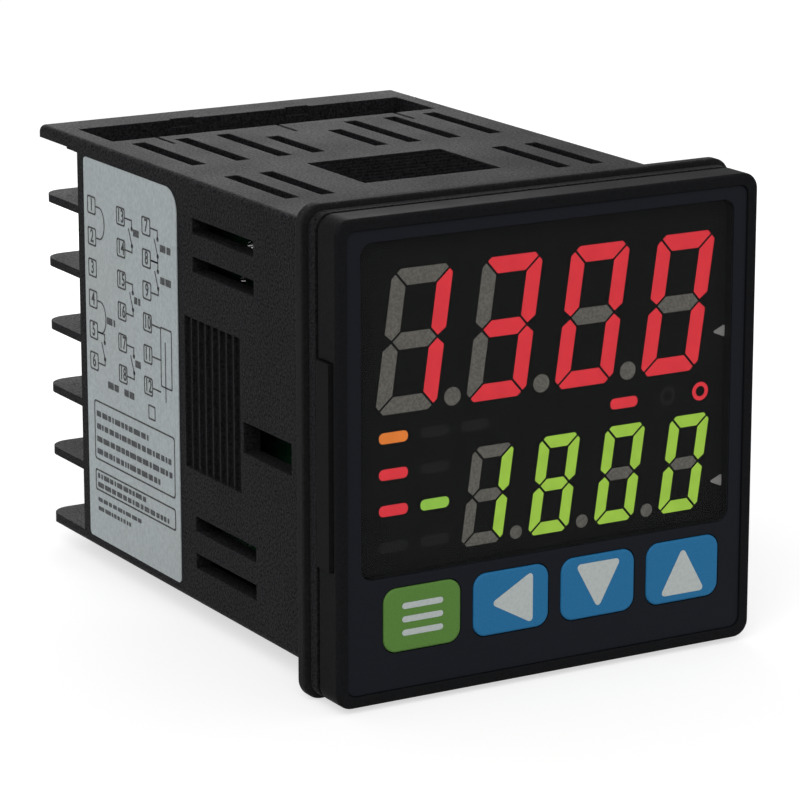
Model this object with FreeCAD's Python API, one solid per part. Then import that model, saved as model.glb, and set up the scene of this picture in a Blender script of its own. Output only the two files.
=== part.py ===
"""Panel-mounted process controller, 48 mm square, built as separate pieces.

Frame: millimetres, X to the right as the front is read, +Y towards the terminals,
+Z up. The origin is the middle of the plane where the gasket meets the panel.
"""
import FreeCAD, Part
import math
import os

from FreeCAD import Vector

# ---- body behind the panel -------------------------------------------------
BODY_SIDE = 44.4            # square body that passes through the panel cut-out
BODY_CORNER = 0.7
WALL = 1.9                  # side, top and bottom walls
MOUTH_CORNER = 0.3          # corners of the space inside the walls
BULKHEAD_FRONT = 46.6       # wall that carries the terminals, behind the panel seat
BULKHEAD_THICKNESS = 1.8
SIDE_WALL_REACH = 3.7       # side walls beyond the bulkhead
HOOD_REACH = 12.9           # top plate, bottom plate and fins beyond the bulkhead
PLATE_THICKNESS = 1.3       # top and bottom plates beyond the terminals

# ---- front stack, counted forward from the panel seat ----------------------
GASKET_THICKNESS = 1.25
GASKET_MARGIN = 0.5         # gasket beyond the flange, each side
GASKET_CORNER = 2.0
GASKET_EDGE = 0.2
BEAD_THICKNESS = 0.5        # narrow bead of the gasket, against the flange
BEAD_INSET = 0.6            # bead behind the edge of the flange
FLANGE_THICKNESS = 1.25
FLANGE_MARGIN = 1.8         # flange and bezel beyond the body, each side
NECK_THICKNESS = 0.6        # set-back joint line between flange and bezel
NECK_INSET = 0.6
BEZEL_CORNER = 1.7
BEZEL_DEPTH = 3.4
BEZEL_EDGE = 0.35
FIT = 0.15                  # running clearance of moulded pieces
SLIP = 0.1                  # finer clearance of guided pieces

# ---- front panel -----------------------------------------------------------
RIM_WIDTH = 1.2             # bezel rim around the overlay
OVERLAY_CORNER = 1.0
OVERLAY_THICKNESS = 0.25
OVERLAY_RECESS = 0.2        # overlay face behind the rim of the bezel
FRONT_WALL = 1.2            # bezel wall behind the overlay
BEZEL_SIDE_WALL = 2.1
CAVITY_CORNER = 0.6         # corners of the spaces inside bezel and skirt
SKIRT_WALL = 1.2
SKIRT_CORNER = 0.5
SKIRT_LENGTH = 6.0
WINDOW_SIDE_MARGIN = 1.6    # overlay beside the window
WINDOW_TOP_MARGIN = 1.3
WINDOW_KEY_GAP = 1.25       # overlay between the window and the keys
WINDOW_CORNER = 1.2
LENS_THICKNESS = 1.0

# ---- keys ------------------------------------------------------------------
KEY_HEIGHT = 6.4
KEY_CORNER = 1.4
KEY_SPACING = 1.5           # overlay between two keys
KEY_LEFT_MARGIN = 4.0       # overlay beside and below the row of keys
KEY_RIGHT_MARGIN = 2.7
KEY_BOTTOM_MARGIN = 3.75
KEY_NAMES = ("mode_key", "shift_key", "down_key", "up_key")
KEY_PROUD = 0.12            # cap face in front of the overlay
KEY_LIP = 0.6               # retaining lip around the cap, behind the wall
KEY_LIP_THICKNESS = 0.5
KEY_TRAVEL = 0.3
KEY_EDGE = 0.12             # bevel round the face of the cap
STEM_RADIUS = 1.6
STEM_LENGTH = 0.5
PLUNGER_RADIUS = 1.1
PLUNGER_LENGTH = 0.9
SWITCH_SIDE = 4.5
SWITCH_HEIGHT = 2.0

# ---- display ---------------------------------------------------------------
DISPLAY_FACE_THICKNESS = 1.0
DISPLAY_SIDE_GAP = 0.95     # display body to the skirt, each side
DISPLAY_BODY_INSET = 1.4    # display body above the lower edge of the window
SEGMENT_DEPTH = 0.7
SEGMENT_GAP = 0.22
SLANT = math.tan(math.radians(8.0))
MITRE_SHARE = 0.55          # corner cut of a segment, as a share of its stroke
SHOULDER_SHARE = 0.8        # outer corner of an upright segment, as a share of its tip
UNIT_ROW_HEIGHT = 4.55      # between the two rows of digits
PV_STROKE = 1.65
PV_SPACING = 3.32           # between two digits
PV_LEFT_INSET = 2.05        # feet of the digits inside the edges of the window
PV_RIGHT_INSET = 3.39
PV_TOP_INSET = 3.05
PV_DOT_RADIUS = 0.92
PV_DOT_RISE = 0.9
PV_DOT_OFFSET = 0.19        # decimal point beyond the middle of the space
SV_HEIGHT = 9.85
SV_STROKE = 1.22
SV_SPACING = 3.0
SV_LEFT_INSET = 11.65
SV_RIGHT_INSET = 3.11
SV_BOTTOM_INSET = 1.4
SV_DOT_RADIUS = 0.68
SV_DOT_RISE = 0.65
SV_DOT_OFFSET = 0.14
PV_READING = ("bc", "abcdg", "abcdef", "abcdef")
SV_READING = ("bc", "abcdefg", "abcdef", "abcdef")
LAMP_LENGTH = 3.2
LAMP_HEIGHT = 1.1
LAMP_CORNER = 0.5
LAMP_LEFT_INSETS = (4.1, 8.7, 13.2)             # lamp columns from the left edge of the window
LAMP_BOTTOM_INSETS = (13.5, 9.9, 6.3, 2.65)     # lamp rows above the lower edge of the window
PERCENT_INSET = 12.0        # unit lamps from the right edge of the window
SECOND_UNIT_INSET = 6.8
FIRST_UNIT_INSET = 2.9
RING_RADIUS = 0.95
RING_WIDTH = 0.42

# ---- circuit boards --------------------------------------------------------
BOARD_THICKNESS = 1.6
DISPLAY_BOARD_GAP = 0.25    # display board to the skirt, each side
UPRIGHT_GAP = 0.3           # display board to the upright boards
BOARD_EDGE_GAP = 0.2        # upright boards to the top and bottom walls
BOARD_END_GAP = 2.3         # upright boards to the bulkhead
SIDE_BOARD_INSET = 4.1      # mid-plane of the outer upright boards inside the side walls
TONGUE_GAP = 0.95           # narrower front end of a board to the skirt
GUIDE_HEIGHT = 1.2
GUIDE_WIDTH = 0.8
FRONT_GUIDE_LENGTH = 6.4    # guide ribs in front of both rows of vent slots
REAR_GUIDE_LENGTH = 3.7
FRONT_GUIDE_GAP = 1.0       # end of a rib to the vent slots behind it
REAR_GUIDE_GAP = 0.5

# ---- what the boards carry -------------------------------------------------
HEADER_SIZE = 2.5
HEADER_LENGTH = 22.0
CHIP_SIDE = 10.0
CHIP_HEIGHT = 1.4
CHIP_Y = 16.0
CHIP_Z = 3.0
CORE_SIZE = (11.0, 16.0, 4.0)
CORE_GAP = 2.3              # core above the bottom wall
CORE_CAPACITOR_GAP = 0.6
WINDING_RISE = 10.0         # winding above its board
WINDING_DEPTH = 11.0
TRANSFORMER_Y = 17.0
CAPACITOR_RADIUS = 4.0
CAPACITOR_LENGTH = 11.5
CAPACITOR_Y = 12.0
CAPACITOR_GAP = 0.2         # between the two capacitors
CAPACITOR_TOP_GAP = 1.5     # upper capacitor below the top wall
CAPACITOR_GROOVE = 0.25     # depth of the rolled groove
CAPACITOR_GROOVE_START = 1.6
RELAY_DEPTH = 15.0
RELAY_WIDTH = 7.2
RELAY_Y = 22.0
RELAY_Z = (-12.0, -4.0, 4.0)
COUPLER_SIZE = (3.6, 6.4, 4.6)
COUPLER_Y = 32.0
COUPLER_Z = (-12.0, -4.5, 3.0, 10.5)
CRYSTAL_SIZE = (3.4, 4.4, 10.6)
CRYSTAL_Y = 27.0

# ---- terminals -------------------------------------------------------------
ROWS = 6
COLUMN_INSET = 5.7          # outer columns inside the side walls
TOP_TERMINAL_INSET = 4.175  # first row below the top face
BOTTOM_TERMINAL_INSET = 4.975
FIN_THICKNESS = 0.85
FIN_TIP_RADIUS = 2.4
POCKET_SIDE = 3.6           # square pocket for the end of each screw
DIVIDER_OFFSET = 0.1        # dividers and notches towards the middle column
DIVIDER_THICKNESS = 0.9
DIVIDER_LENGTH = 2.2
SCREW_RADIUS = 1.5          # M3
SCREW_LENGTH = 3.2
HEAD_RADIUS = 2.6
HEAD_HEIGHT = 1.8
HEAD_CHAMFER = 0.6
RECESS_WIDTH = 0.7          # cross recess
RECESS_REACH = 1.612
RECESS_DEPTH = 1.0
CLAMP_GAP = 0.35            # clamp to the fins above and below it
CLAMP_THICKNESS = 0.8
CONTACT_THICKNESS = 0.6
TAIL_WIDTH = 0.8
TAIL_HEIGHT = 0.8
TAIL_GAP = 0.6              # contact tail to the thread of its screw
TAIL_OVERLAP = 8.3          # contact tail along its board

# ---- top window above the first terminal row -------------------------------
HOOD_WINDOW_MARGIN = 2.45   # hood beside the window
HOOD_WINDOW_REACH = 8.4     # window beyond the bulkhead
HOOD_RIB_THICKNESS = 1.2
HOOD_RIB_DROP = 2.6         # lower edge of the rear rib below the top face
NOTCH_WIDTH = 3.0
NOTCH_DEPTH = 0.9
GROOVE_LENGTH = 4.3
GROOVE_WIDTH = 0.6
GROOVE_DEPTH = 0.35

# ---- vents and ratchets ----------------------------------------------------
SLOT_WIDTH = 1.6
FRONT_SLOTS_START = 12.6
FRONT_SLOT_LENGTH = 13.0
REAR_SLOT_GAP = 0.2         # rear slots to the bulkhead
REAR_SLOT_LENGTH = 14.0
SHORT_SLOT_LENGTH = 10.3
REAR_SLOT_INSETS = (4.4, 9.5, 14.4)
SHORT_SLOT_INSET = 18.4
FRONT_SLOT_INSETS = (4.4, 8.4)
SIDE_SLOT_INSETS = (4.65, 8.6)
CABLE_SLOT = (5.1, 15.0)    # wide slot in each side wall, along the depth
CABLE_SLOT_Z = (-3.6, -0.4)
RATCHET_START = 15.5
RATCHET_PITCH = 1.51
RATCHET_TEETH = 8
RATCHET_DEPTH = 0.6
RATCHET_WIDTH = 15.9
CREST_DROP = 0.04

# ---- release latches -------------------------------------------------------
LATCH_LENGTH = 20.4
LATCH_DEPTH = 2.7
LATCH_PROUD = 0.3
LATCH_RAMP = 0.75           # ramp at the front of the pad, along the depth
LATCH_PAD_THICKNESS = 0.9
LATCH_TRAVEL = 0.8
LATCH_ARM_WIDTH = 6.0
LATCH_ARM_THICKNESS = 0.9
LATCH_WEB = 1.0
LATCH_REACH = 3.2           # arm end behind the panel seat
HOOK_DEPTH = 0.6
HOOK_LENGTH = 1.4

# ---- label -----------------------------------------------------------------
LABEL_LENGTH = 21.4
LABEL_REAR_INSET = 1.7      # label in front of the rear edge of the side wall
LABEL_TOP_INSET = 1.6
LABEL_BOTTOM_INSET = 1.3
LABEL_CORNER = 0.5
LABEL_BIG_CORNER = 2.4
LABEL_THICKNESS = 0.1

# ---- planes across the body ------------------------------------------------
HALF_BODY = BODY_SIDE / 2
HALF_INSIDE = HALF_BODY - WALL
BEZEL_SIDE = BODY_SIDE + 2 * FLANGE_MARGIN
HALF_BEZEL = BEZEL_SIDE / 2
GASKET_SIDE = BEZEL_SIDE + 2 * GASKET_MARGIN
OVERLAY_SIDE = BEZEL_SIDE - 2 * RIM_WIDTH
HALF_FRONT_CAVITY = HALF_BEZEL - BEZEL_SIDE_WALL
HALF_SKIRT = HALF_INSIDE - FIT
HALF_SKIRT_INSIDE = HALF_SKIRT - SKIRT_WALL
COLUMN_X = (COLUMN_INSET - HALF_INSIDE, 0.0, HALF_INSIDE - COLUMN_INSET)
DIVIDER_X = COLUMN_X[2] / 2 - DIVIDER_OFFSET
NOTCH_X = DIVIDER_X - DIVIDER_OFFSET
TERMINAL_PITCH = (BODY_SIDE - TOP_TERMINAL_INSET - BOTTOM_TERMINAL_INSET) / (ROWS - 1)
TOP_TERMINAL_Z = HALF_BODY - TOP_TERMINAL_INSET
CLAMP_SIDE = TERMINAL_PITCH - FIN_THICKNESS - 2 * CLAMP_GAP
SIDE_BOARD_X = HALF_INSIDE - SIDE_BOARD_INSET
BOARD_PLANES = {
    "control_board": -SIDE_BOARD_X,
    "option_board": COLUMN_X[1] - TAIL_WIDTH / 2 - BOARD_THICKNESS / 2,
    "power_board": SIDE_BOARD_X,
}
LATCH_OUTER = HALF_BEZEL + LATCH_PROUD
LATCH_INNER = LATCH_OUTER - LATCH_PAD_THICKNESS
LATCH_FLOOR = LATCH_INNER - LATCH_TRAVEL - SLIP
ARM_OUTER = HALF_INSIDE - SLIP
ARM_INNER = ARM_OUTER - LATCH_ARM_THICKNESS

# ---- places on the front panel ---------------------------------------------
WINDOW_RIGHT = OVERLAY_SIDE / 2 - WINDOW_SIDE_MARGIN
WINDOW_WIDTH = 2 * WINDOW_RIGHT
WINDOW_TOP = OVERLAY_SIDE / 2 - WINDOW_TOP_MARGIN
KEY_ROW_Z = KEY_BOTTOM_MARGIN + KEY_HEIGHT / 2 - OVERLAY_SIDE / 2
KEY_ROW_LENGTH = OVERLAY_SIDE - KEY_LEFT_MARGIN - KEY_RIGHT_MARGIN
KEY_PITCH = (KEY_ROW_LENGTH + KEY_SPACING) / len(KEY_NAMES)
KEY_WIDTH = KEY_PITCH - KEY_SPACING
FIRST_KEY_X = KEY_LEFT_MARGIN + KEY_WIDTH / 2 - OVERLAY_SIDE / 2
WINDOW_BOTTOM = KEY_ROW_Z + KEY_HEIGHT / 2 + WINDOW_KEY_GAP
WINDOW_MID_Z = (WINDOW_TOP + WINDOW_BOTTOM) / 2
WINDOW_HEIGHT = WINDOW_TOP - WINDOW_BOTTOM
SV_BASE_Z = WINDOW_BOTTOM + SV_BOTTOM_INSET
PV_BASE_Z = SV_BASE_Z + SV_HEIGHT + UNIT_ROW_HEIGHT
PV_HEIGHT = WINDOW_TOP - PV_TOP_INSET - PV_BASE_Z
PV_ROW_LENGTH = WINDOW_WIDTH - PV_LEFT_INSET - PV_RIGHT_INSET
PV_PITCH = (PV_ROW_LENGTH + PV_SPACING) / len(PV_READING)
SV_ROW_LENGTH = WINDOW_WIDTH - SV_LEFT_INSET - SV_RIGHT_INSET
SV_PITCH = (SV_ROW_LENGTH + SV_SPACING) / len(SV_READING)

# ---- planes along the depth ------------------------------------------------
FLANGE_REAR = -(GASKET_THICKNESS + BEAD_THICKNESS)
FLANGE_FRONT = FLANGE_REAR - FLANGE_THICKNESS
BEZEL_REAR = FLANGE_FRONT - NECK_THICKNESS
BEZEL_FRONT = BEZEL_REAR - BEZEL_DEPTH
OVERLAY_FRONT = BEZEL_FRONT + OVERLAY_RECESS
OVERLAY_REAR = OVERLAY_FRONT + OVERLAY_THICKNESS
FRONT_WALL_REAR = OVERLAY_REAR + FRONT_WALL
LENS_REAR = OVERLAY_FRONT + LENS_THICKNESS
SKIRT_END = FLANGE_FRONT + SKIRT_LENGTH
DISPLAY_FACE_FRONT = LENS_REAR
DISPLAY_FACE_REAR = DISPLAY_FACE_FRONT + DISPLAY_FACE_THICKNESS
KEY_FRONT = OVERLAY_FRONT - KEY_PROUD
KEY_LIP_FRONT = FRONT_WALL_REAR
KEY_LIP_REAR = KEY_LIP_FRONT + KEY_LIP_THICKNESS
PLUNGER_FRONT = KEY_LIP_REAR + STEM_LENGTH
SWITCH_FRONT = PLUNGER_FRONT + KEY_TRAVEL + SLIP
DISPLAY_BOARD_FRONT = SWITCH_FRONT + SWITCH_HEIGHT
DISPLAY_BOARD_REAR = DISPLAY_BOARD_FRONT + BOARD_THICKNESS
UPRIGHT_FRONT = DISPLAY_BOARD_REAR + UPRIGHT_GAP
LATCH_FRONT = BEZEL_REAR - LATCH_DEPTH
BULKHEAD_REAR = BULKHEAD_FRONT + BULKHEAD_THICKNESS
SIDE_WALL_END = BULKHEAD_REAR + SIDE_WALL_REACH
HOOD_END = BULKHEAD_REAR + HOOD_REACH
HOOD_WINDOW_REAR = BULKHEAD_REAR + HOOD_WINDOW_REACH
CONTACT_REAR = BULKHEAD_REAR + CONTACT_THICKNESS
CLAMP_REAR = CONTACT_REAR + CLAMP_THICKNESS
BOARD_END = BULKHEAD_FRONT - BOARD_END_GAP
TAIL_END = BOARD_END - TAIL_OVERLAP
FRONT_SLOTS_END = FRONT_SLOTS_START + FRONT_SLOT_LENGTH
REAR_SLOTS_END = BULKHEAD_FRONT - REAR_SLOT_GAP
REAR_SLOTS_START = REAR_SLOTS_END - REAR_SLOT_LENGTH
FRONT_GUIDE_END = FRONT_SLOTS_START - FRONT_GUIDE_GAP
REAR_GUIDE_END = REAR_SLOTS_START - REAR_GUIDE_GAP
GUIDE_STATIONS = (
    (FRONT_GUIDE_END - FRONT_GUIDE_LENGTH, FRONT_GUIDE_END),
    (REAR_GUIDE_END - REAR_GUIDE_LENGTH, REAR_GUIDE_END),
)
LABEL_REAR = SIDE_WALL_END - LABEL_REAR_INSET
OVERCUT = 1.0               # how far cutters run past the faces they open


# ---- building blocks -------------------------------------------------------
def block(x_range, y_range, z_range):
    """A rectangular block between three pairs of limits."""
    x0, x1 = sorted(x_range)
    y0, y1 = sorted(y_range)
    z0, z1 = sorted(z_range)
    return Part.makeBox(x1 - x0, y1 - y0, z1 - z0, Vector(x0, y0, z0))


def rod(x, z, radius, y_range):
    """A round bar along the depth of the controller."""
    y0, y1 = y_range
    return Part.makeCylinder(radius, y1 - y0, Vector(x, y0, z), Vector(0, 1, 0))


def prism(points, direction):
    """A closed outline pushed along a direction."""
    outline = Part.makePolygon([Vector(*point) for point in points] + [Vector(*points[0])])
    return Part.Face(outline).extrude(Vector(*direction))


def rounded_outline(width, height, radius, y, centre=(0.0, 0.0)):
    """A rectangle with round corners in a plane facing the front."""
    cx, cz = centre
    half_w = width / 2
    half_h = height / 2
    edges = []
    corners = ((1, 1), (-1, 1), (-1, -1), (1, -1))
    arcs = []
    for index, (sx, sz) in enumerate(corners):
        centre_x = cx + sx * (half_w - radius)
        centre_z = cz + sz * (half_h - radius)
        start = math.pi / 2 * index
        points = []
        for step in range(3):
            angle = start + math.pi / 4 * step
            offset = Vector(radius * math.cos(angle), 0, radius * math.sin(angle))
            points.append(Vector(centre_x, y, centre_z) + offset)
        arcs.append(points)
    for index, points in enumerate(arcs):
        edges.append(Part.Arc(*points).toShape())
        following = arcs[(index + 1) % 4][0]
        if (points[2] - following).Length > 1e-6:
            edges.append(Part.makeLine(points[2], following))
    return Part.Wire(edges)


def rounded_plate(width, height, radius, y_range, centre=(0.0, 0.0)):
    """A plate with round corners between two depths."""
    y0, y1 = y_range
    face = Part.Face(rounded_outline(width, height, radius, y0, centre))
    return face.extrude(Vector(0, y1 - y0, 0))


def square_plate(side, radius, y_range):
    """A square plate with round corners on the axis of the controller."""
    return rounded_plate(side, side, radius, y_range)


def mirrored_x(shape):
    """The same shape on the other side of the middle plane."""
    return shape.mirror(Vector(0, 0, 0), Vector(1, 0, 0))


def fuse_all(shapes):
    """One solid out of several that touch."""
    first, *rest = shapes
    return first.fuse(rest).removeSplitter() if rest else first


def row_z(row):
    """Height of one row of terminals."""
    return TOP_TERMINAL_Z - TERMINAL_PITCH * row


def key_x(index):
    """Middle of one key along the row."""
    return FIRST_KEY_X + KEY_PITCH * index


def save(name, shape):
    """Write one node, as one solid or as a group of separate solids."""
    shape.exportStep(f"parts/{name}.step")


# ---- rear case -------------------------------------------------------------
def ratchet_cut_top():
    """Saw teeth sunk in the top face: steep faces look forward, ramps run rearward."""
    top = HALF_BODY
    points = [(0, RATCHET_START, top + OVERCUT), (0, RATCHET_START, top - CREST_DROP)]
    for tooth in range(RATCHET_TEETH):
        root = RATCHET_START + RATCHET_PITCH * (tooth + 1)
        points.append((0, root, top - RATCHET_DEPTH))
        crest = OVERCUT if tooth == RATCHET_TEETH - 1 else -CREST_DROP
        points.append((0, root, top + crest))
    shifted = [(-RATCHET_WIDTH / 2, y, z) for _, y, z in points]
    return prism(shifted, (RATCHET_WIDTH, 0, 0))


def vent_cutters():
    """Slots through the top wall, repeated in the bottom wall, and through both side walls."""
    cutters = []
    through = (HALF_INSIDE - OVERCUT, HALF_BODY + OVERCUT)
    rows = [(inset, REAR_SLOTS_START, REAR_SLOTS_END) for inset in REAR_SLOT_INSETS]
    rows.append((SHORT_SLOT_INSET, REAR_SLOTS_START, REAR_SLOTS_START + SHORT_SLOT_LENGTH))
    rows += [(inset, FRONT_SLOTS_START, FRONT_SLOTS_END) for inset in FRONT_SLOT_INSETS]
    for inset, start, end in rows:
        x = HALF_BODY - inset
        for side in (-1, 1):
            x_range = (side * x - SLOT_WIDTH / 2, side * x + SLOT_WIDTH / 2)
            for level in (-1, 1):
                cutters.append(block(x_range, (start, end), [level * z for z in through]))
    for side in (-1, 1):
        x_range = [side * x for x in through]
        for inset in SIDE_SLOT_INSETS:
            z = HALF_BODY - inset
            for level in (-1, 1):
                z_range = (level * z - SLOT_WIDTH / 2, level * z + SLOT_WIDTH / 2)
                cutters.append(block(x_range, (FRONT_SLOTS_START, FRONT_SLOTS_END), z_range))
        cutters.append(block(x_range, CABLE_SLOT, CABLE_SLOT_Z))
    return cutters


def ratchet_cutters():
    """The same teeth on the top, the bottom and both sides, for the clamping frame."""
    top = ratchet_cut_top()
    cutters = []
    for quarter in range(4):
        turned = top.copy()
        turned.rotate(Vector(0, 0, 0), Vector(0, 1, 0), 90 * quarter)
        cutters.append(turned)
    return cutters


def fin_plan(half_width, tip_radius):
    """Outline of a fin seen from above, with both rear corners rounded."""
    start = BULKHEAD_REAR - OVERCUT
    corner_y = HOOD_END - tip_radius
    inner_x = half_width - tip_radius
    bow = tip_radius * math.sin(math.pi / 4)
    left = Part.Arc(
        Vector(-half_width, corner_y, 0),
        Vector(-inner_x - bow, corner_y + bow, 0),
        Vector(-inner_x, HOOD_END, 0),
    ).toShape()
    right = Part.Arc(
        Vector(inner_x, HOOD_END, 0),
        Vector(inner_x + bow, corner_y + bow, 0),
        Vector(half_width, corner_y, 0),
    ).toShape()
    return Part.Wire([
        Part.makeLine(Vector(-half_width, start, 0), Vector(-half_width, corner_y, 0)),
        left,
        Part.makeLine(Vector(-inner_x, HOOD_END, 0), Vector(inner_x, HOOD_END, 0)),
        right,
        Part.makeLine(Vector(half_width, corner_y, 0), Vector(half_width, start, 0)),
        Part.makeLine(Vector(half_width, start, 0), Vector(-half_width, start, 0)),
    ])


def fin(z_low, thickness):
    """A level insulating fin between two rows of terminals."""
    face = Part.Face(fin_plan(HALF_BODY, FIN_TIP_RADIUS))
    face.translate(Vector(0, 0, z_low))
    return face.extrude(Vector(0, 0, thickness))


def terminal_hood():
    """Plates, fins and rib behind the bulkhead."""
    depth = (BULKHEAD_REAR - OVERCUT, HOOD_END)
    outline = square_plate(BODY_SIDE, BODY_CORNER, depth)
    plate_z = (HALF_BODY - PLATE_THICKNESS, HALF_BODY)
    top_plate = outline.common(block((-HALF_BODY, HALF_BODY), depth, plate_z))
    half_window = HALF_BODY - HOOD_WINDOW_MARGIN
    window = block(
        (-half_window, half_window),
        (BULKHEAD_REAR, HOOD_WINDOW_REAR),
        (HALF_INSIDE, HALF_BODY + OVERCUT),
    )
    plate_bottom = HALF_BODY - PLATE_THICKNESS
    rib_rear = HOOD_WINDOW_REAR + HOOD_RIB_THICKNESS
    rib_z = (HALF_BODY - HOOD_RIB_DROP, plate_bottom)
    rib = block((-half_window, half_window), (HOOD_WINDOW_REAR, rib_rear), rib_z)
    hood = fuse_all([top_plate.cut(window), rib])
    notches = []
    for side in (-1, 1):
        x_range = (side * NOTCH_X - NOTCH_WIDTH / 2, side * NOTCH_X + NOTCH_WIDTH / 2)
        y_range = (HOOD_WINDOW_REAR - OVERCUT, HOOD_WINDOW_REAR + HOOD_RIB_THICKNESS / 2)
        z_range = (HALF_BODY - NOTCH_DEPTH, HALF_BODY + OVERCUT)
        notches.append(block(x_range, y_range, z_range))
    pieces = [hood.cut(notches), fin(-HALF_BODY, PLATE_THICKNESS).common(outline)]
    for row in range(ROWS - 1):
        middle = row_z(row) - TERMINAL_PITCH / 2
        pieces.append(fin(middle - FIN_THICKNESS / 2, FIN_THICKNESS))
    return pieces


def guide_ribs():
    """Pairs of ribs that hold the edges of the upright boards, top and bottom."""
    ribs = []
    reach = BOARD_THICKNESS / 2 + SLIP
    for plane in BOARD_PLANES.values():
        for start, end in GUIDE_STATIONS:
            for side in (-1, 1):
                x_range = (plane + side * reach, plane + side * (reach + GUIDE_WIDTH))
                for level in (-1, 1):
                    z_range = (level * (HALF_INSIDE - GUIDE_HEIGHT), level * (HALF_INSIDE + SLIP))
                    ribs.append(block(x_range, (start, end), z_range))
    return ribs


def terminal_bulkhead():
    """Wall that carries the terminals, with two low dividers between the columns."""
    pieces = [
        block(
            (-HALF_INSIDE - SLIP, HALF_INSIDE + SLIP),
            (BULKHEAD_FRONT, BULKHEAD_REAR),
            (-HALF_INSIDE - SLIP, HALF_INSIDE + SLIP),
        )
    ]
    for side in (-1, 1):
        x_range = (side * DIVIDER_X - DIVIDER_THICKNESS / 2, side * DIVIDER_X + DIVIDER_THICKNESS / 2)
        y_range = (BULKHEAD_REAR - SLIP, BULKHEAD_REAR + DIVIDER_LENGTH)
        pieces.append(block(x_range, y_range, (-HALF_INSIDE, HALF_INSIDE)))
    return pieces


def tail_z(row):
    """Lower and upper edge of a contact tail, just below its screw."""
    high = row_z(row) - SCREW_RADIUS - TAIL_GAP
    return (high - TAIL_HEIGHT, high)


def tail_x(column):
    """Left and right face of the contact tails of one column of terminals."""
    plane = list(BOARD_PLANES.values())[column]
    side = -1 if column == 2 else 1
    inner = plane + side * BOARD_THICKNESS / 2
    return (inner, inner + side * TAIL_WIDTH)


def terminal_cutters():
    """Square screw pockets and contact slots through the bulkhead."""
    cutters = []
    half = POCKET_SIDE / 2
    through = (BULKHEAD_FRONT - OVERCUT, BULKHEAD_REAR + OVERCUT)
    for column, x in enumerate(COLUMN_X):
        for row in range(ROWS):
            z = row_z(row)
            cutters.append(block((x - half, x + half), through, (z - half, z + half)))
            z_low, z_high = tail_z(row)
            x_low, x_high = sorted(tail_x(column))
            cutters.append(block((x_low - SLIP, x_high + SLIP), through, (z_low - SLIP, z_high + SLIP)))
    return cutters


def guide_grooves():
    """Three shallow V grooves in front of the hood window, one per terminal column."""
    cutters = []
    for x in COLUMN_X:
        y = BULKHEAD_REAR - GROOVE_LENGTH
        points = [
            (x - GROOVE_WIDTH / 2, y, HALF_BODY + SLIP),
            (x + GROOVE_WIDTH / 2, y, HALF_BODY + SLIP),
            (x, y, HALF_BODY - GROOVE_DEPTH),
        ]
        cutters.append(prism(points, (0, GROOVE_LENGTH, 0)))
    return cutters


def latch_pocket():
    """Blind pocket inside the side wall where the hook of a latch engages."""
    hook_start = LATCH_REACH - HOOK_LENGTH
    return block(
        (HALF_INSIDE - OVERCUT, HALF_INSIDE + HOOK_DEPTH + SLIP),
        (hook_start - FIT, LATCH_REACH + FIT),
        (-LATCH_ARM_WIDTH / 2 - FIT, LATCH_ARM_WIDTH / 2 + FIT),
    )


def build_rear_case():
    """Moulded case: flange, vented body with ratchets, bulkhead and finned terminal hood."""
    flange = square_plate(BEZEL_SIDE, BEZEL_CORNER, (FLANGE_FRONT, FLANGE_REAR))
    body = square_plate(BODY_SIDE, BODY_CORNER, (FLANGE_REAR - SLIP, SIDE_WALL_END))
    shell = fuse_all([flange, body])
    cavity = square_plate(2 * HALF_INSIDE, MOUTH_CORNER, (FLANGE_FRONT - OVERCUT, BULKHEAD_FRONT + SLIP))
    chamber = block(
        (-HALF_INSIDE, HALF_INSIDE),
        (BULKHEAD_FRONT, SIDE_WALL_END + OVERCUT),
        (-HALF_BODY - OVERCUT, HALF_BODY + OVERCUT),
    )
    shell = shell.cut([cavity, chamber])
    strip_x = (-HALF_INSIDE - SLIP, HALF_INSIDE + SLIP)
    strip_y = (BULKHEAD_FRONT - SLIP, BULKHEAD_REAR)
    additions = [
        block(strip_x, strip_y, (HALF_INSIDE, HALF_BODY)),
        block(strip_x, strip_y, (-HALF_BODY, -HALF_INSIDE)),
    ]
    additions += terminal_hood()
    additions += terminal_bulkhead()
    additions += guide_ribs()
    shell = shell.fuse(additions).removeSplitter()
    pocket = latch_pocket()
    cutters = vent_cutters() + ratchet_cutters() + terminal_cutters() + guide_grooves()
    cutters += [pocket, mirrored_x(pocket)]
    return shell.cut(cutters).removeSplitter()


# ---- gasket, bezel, overlay and lens ---------------------------------------
def build_panel_gasket():
    """Rubber ring between flange and panel, with a narrow bead on its front face."""
    ring = square_plate(GASKET_SIDE, GASKET_CORNER, (-GASKET_THICKNESS, 0))
    bead_side = BEZEL_SIDE - 2 * BEAD_INSET
    bead = square_plate(bead_side, BEZEL_CORNER - BEAD_INSET / 2, (FLANGE_REAR, -GASKET_THICKNESS))
    hole_side = BODY_SIDE + 2 * FIT
    hole = square_plate(hole_side, BODY_CORNER + FIT, (FLANGE_REAR - OVERCUT, OVERCUT))
    outer = [edge for edge in ring.Edges if edge.Length > GASKET_SIDE / 2]
    return fuse_all([ring.makeFillet(GASKET_EDGE, outer), bead]).cut(hole)


def key_opening(index, clearance, y_range):
    """Hole for one key through the overlay or the bezel wall."""
    return rounded_plate(
        KEY_WIDTH + 2 * clearance,
        KEY_HEIGHT + 2 * clearance,
        KEY_CORNER + clearance,
        y_range,
        (key_x(index), KEY_ROW_Z),
    )


def window_plate(clearance, y_range):
    """Rounded plate of the display window, larger by a clearance on each side."""
    return rounded_plate(
        WINDOW_WIDTH + 2 * clearance,
        WINDOW_HEIGHT + 2 * clearance,
        WINDOW_CORNER + clearance,
        y_range,
        (0.0, WINDOW_MID_Z),
    )


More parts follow.
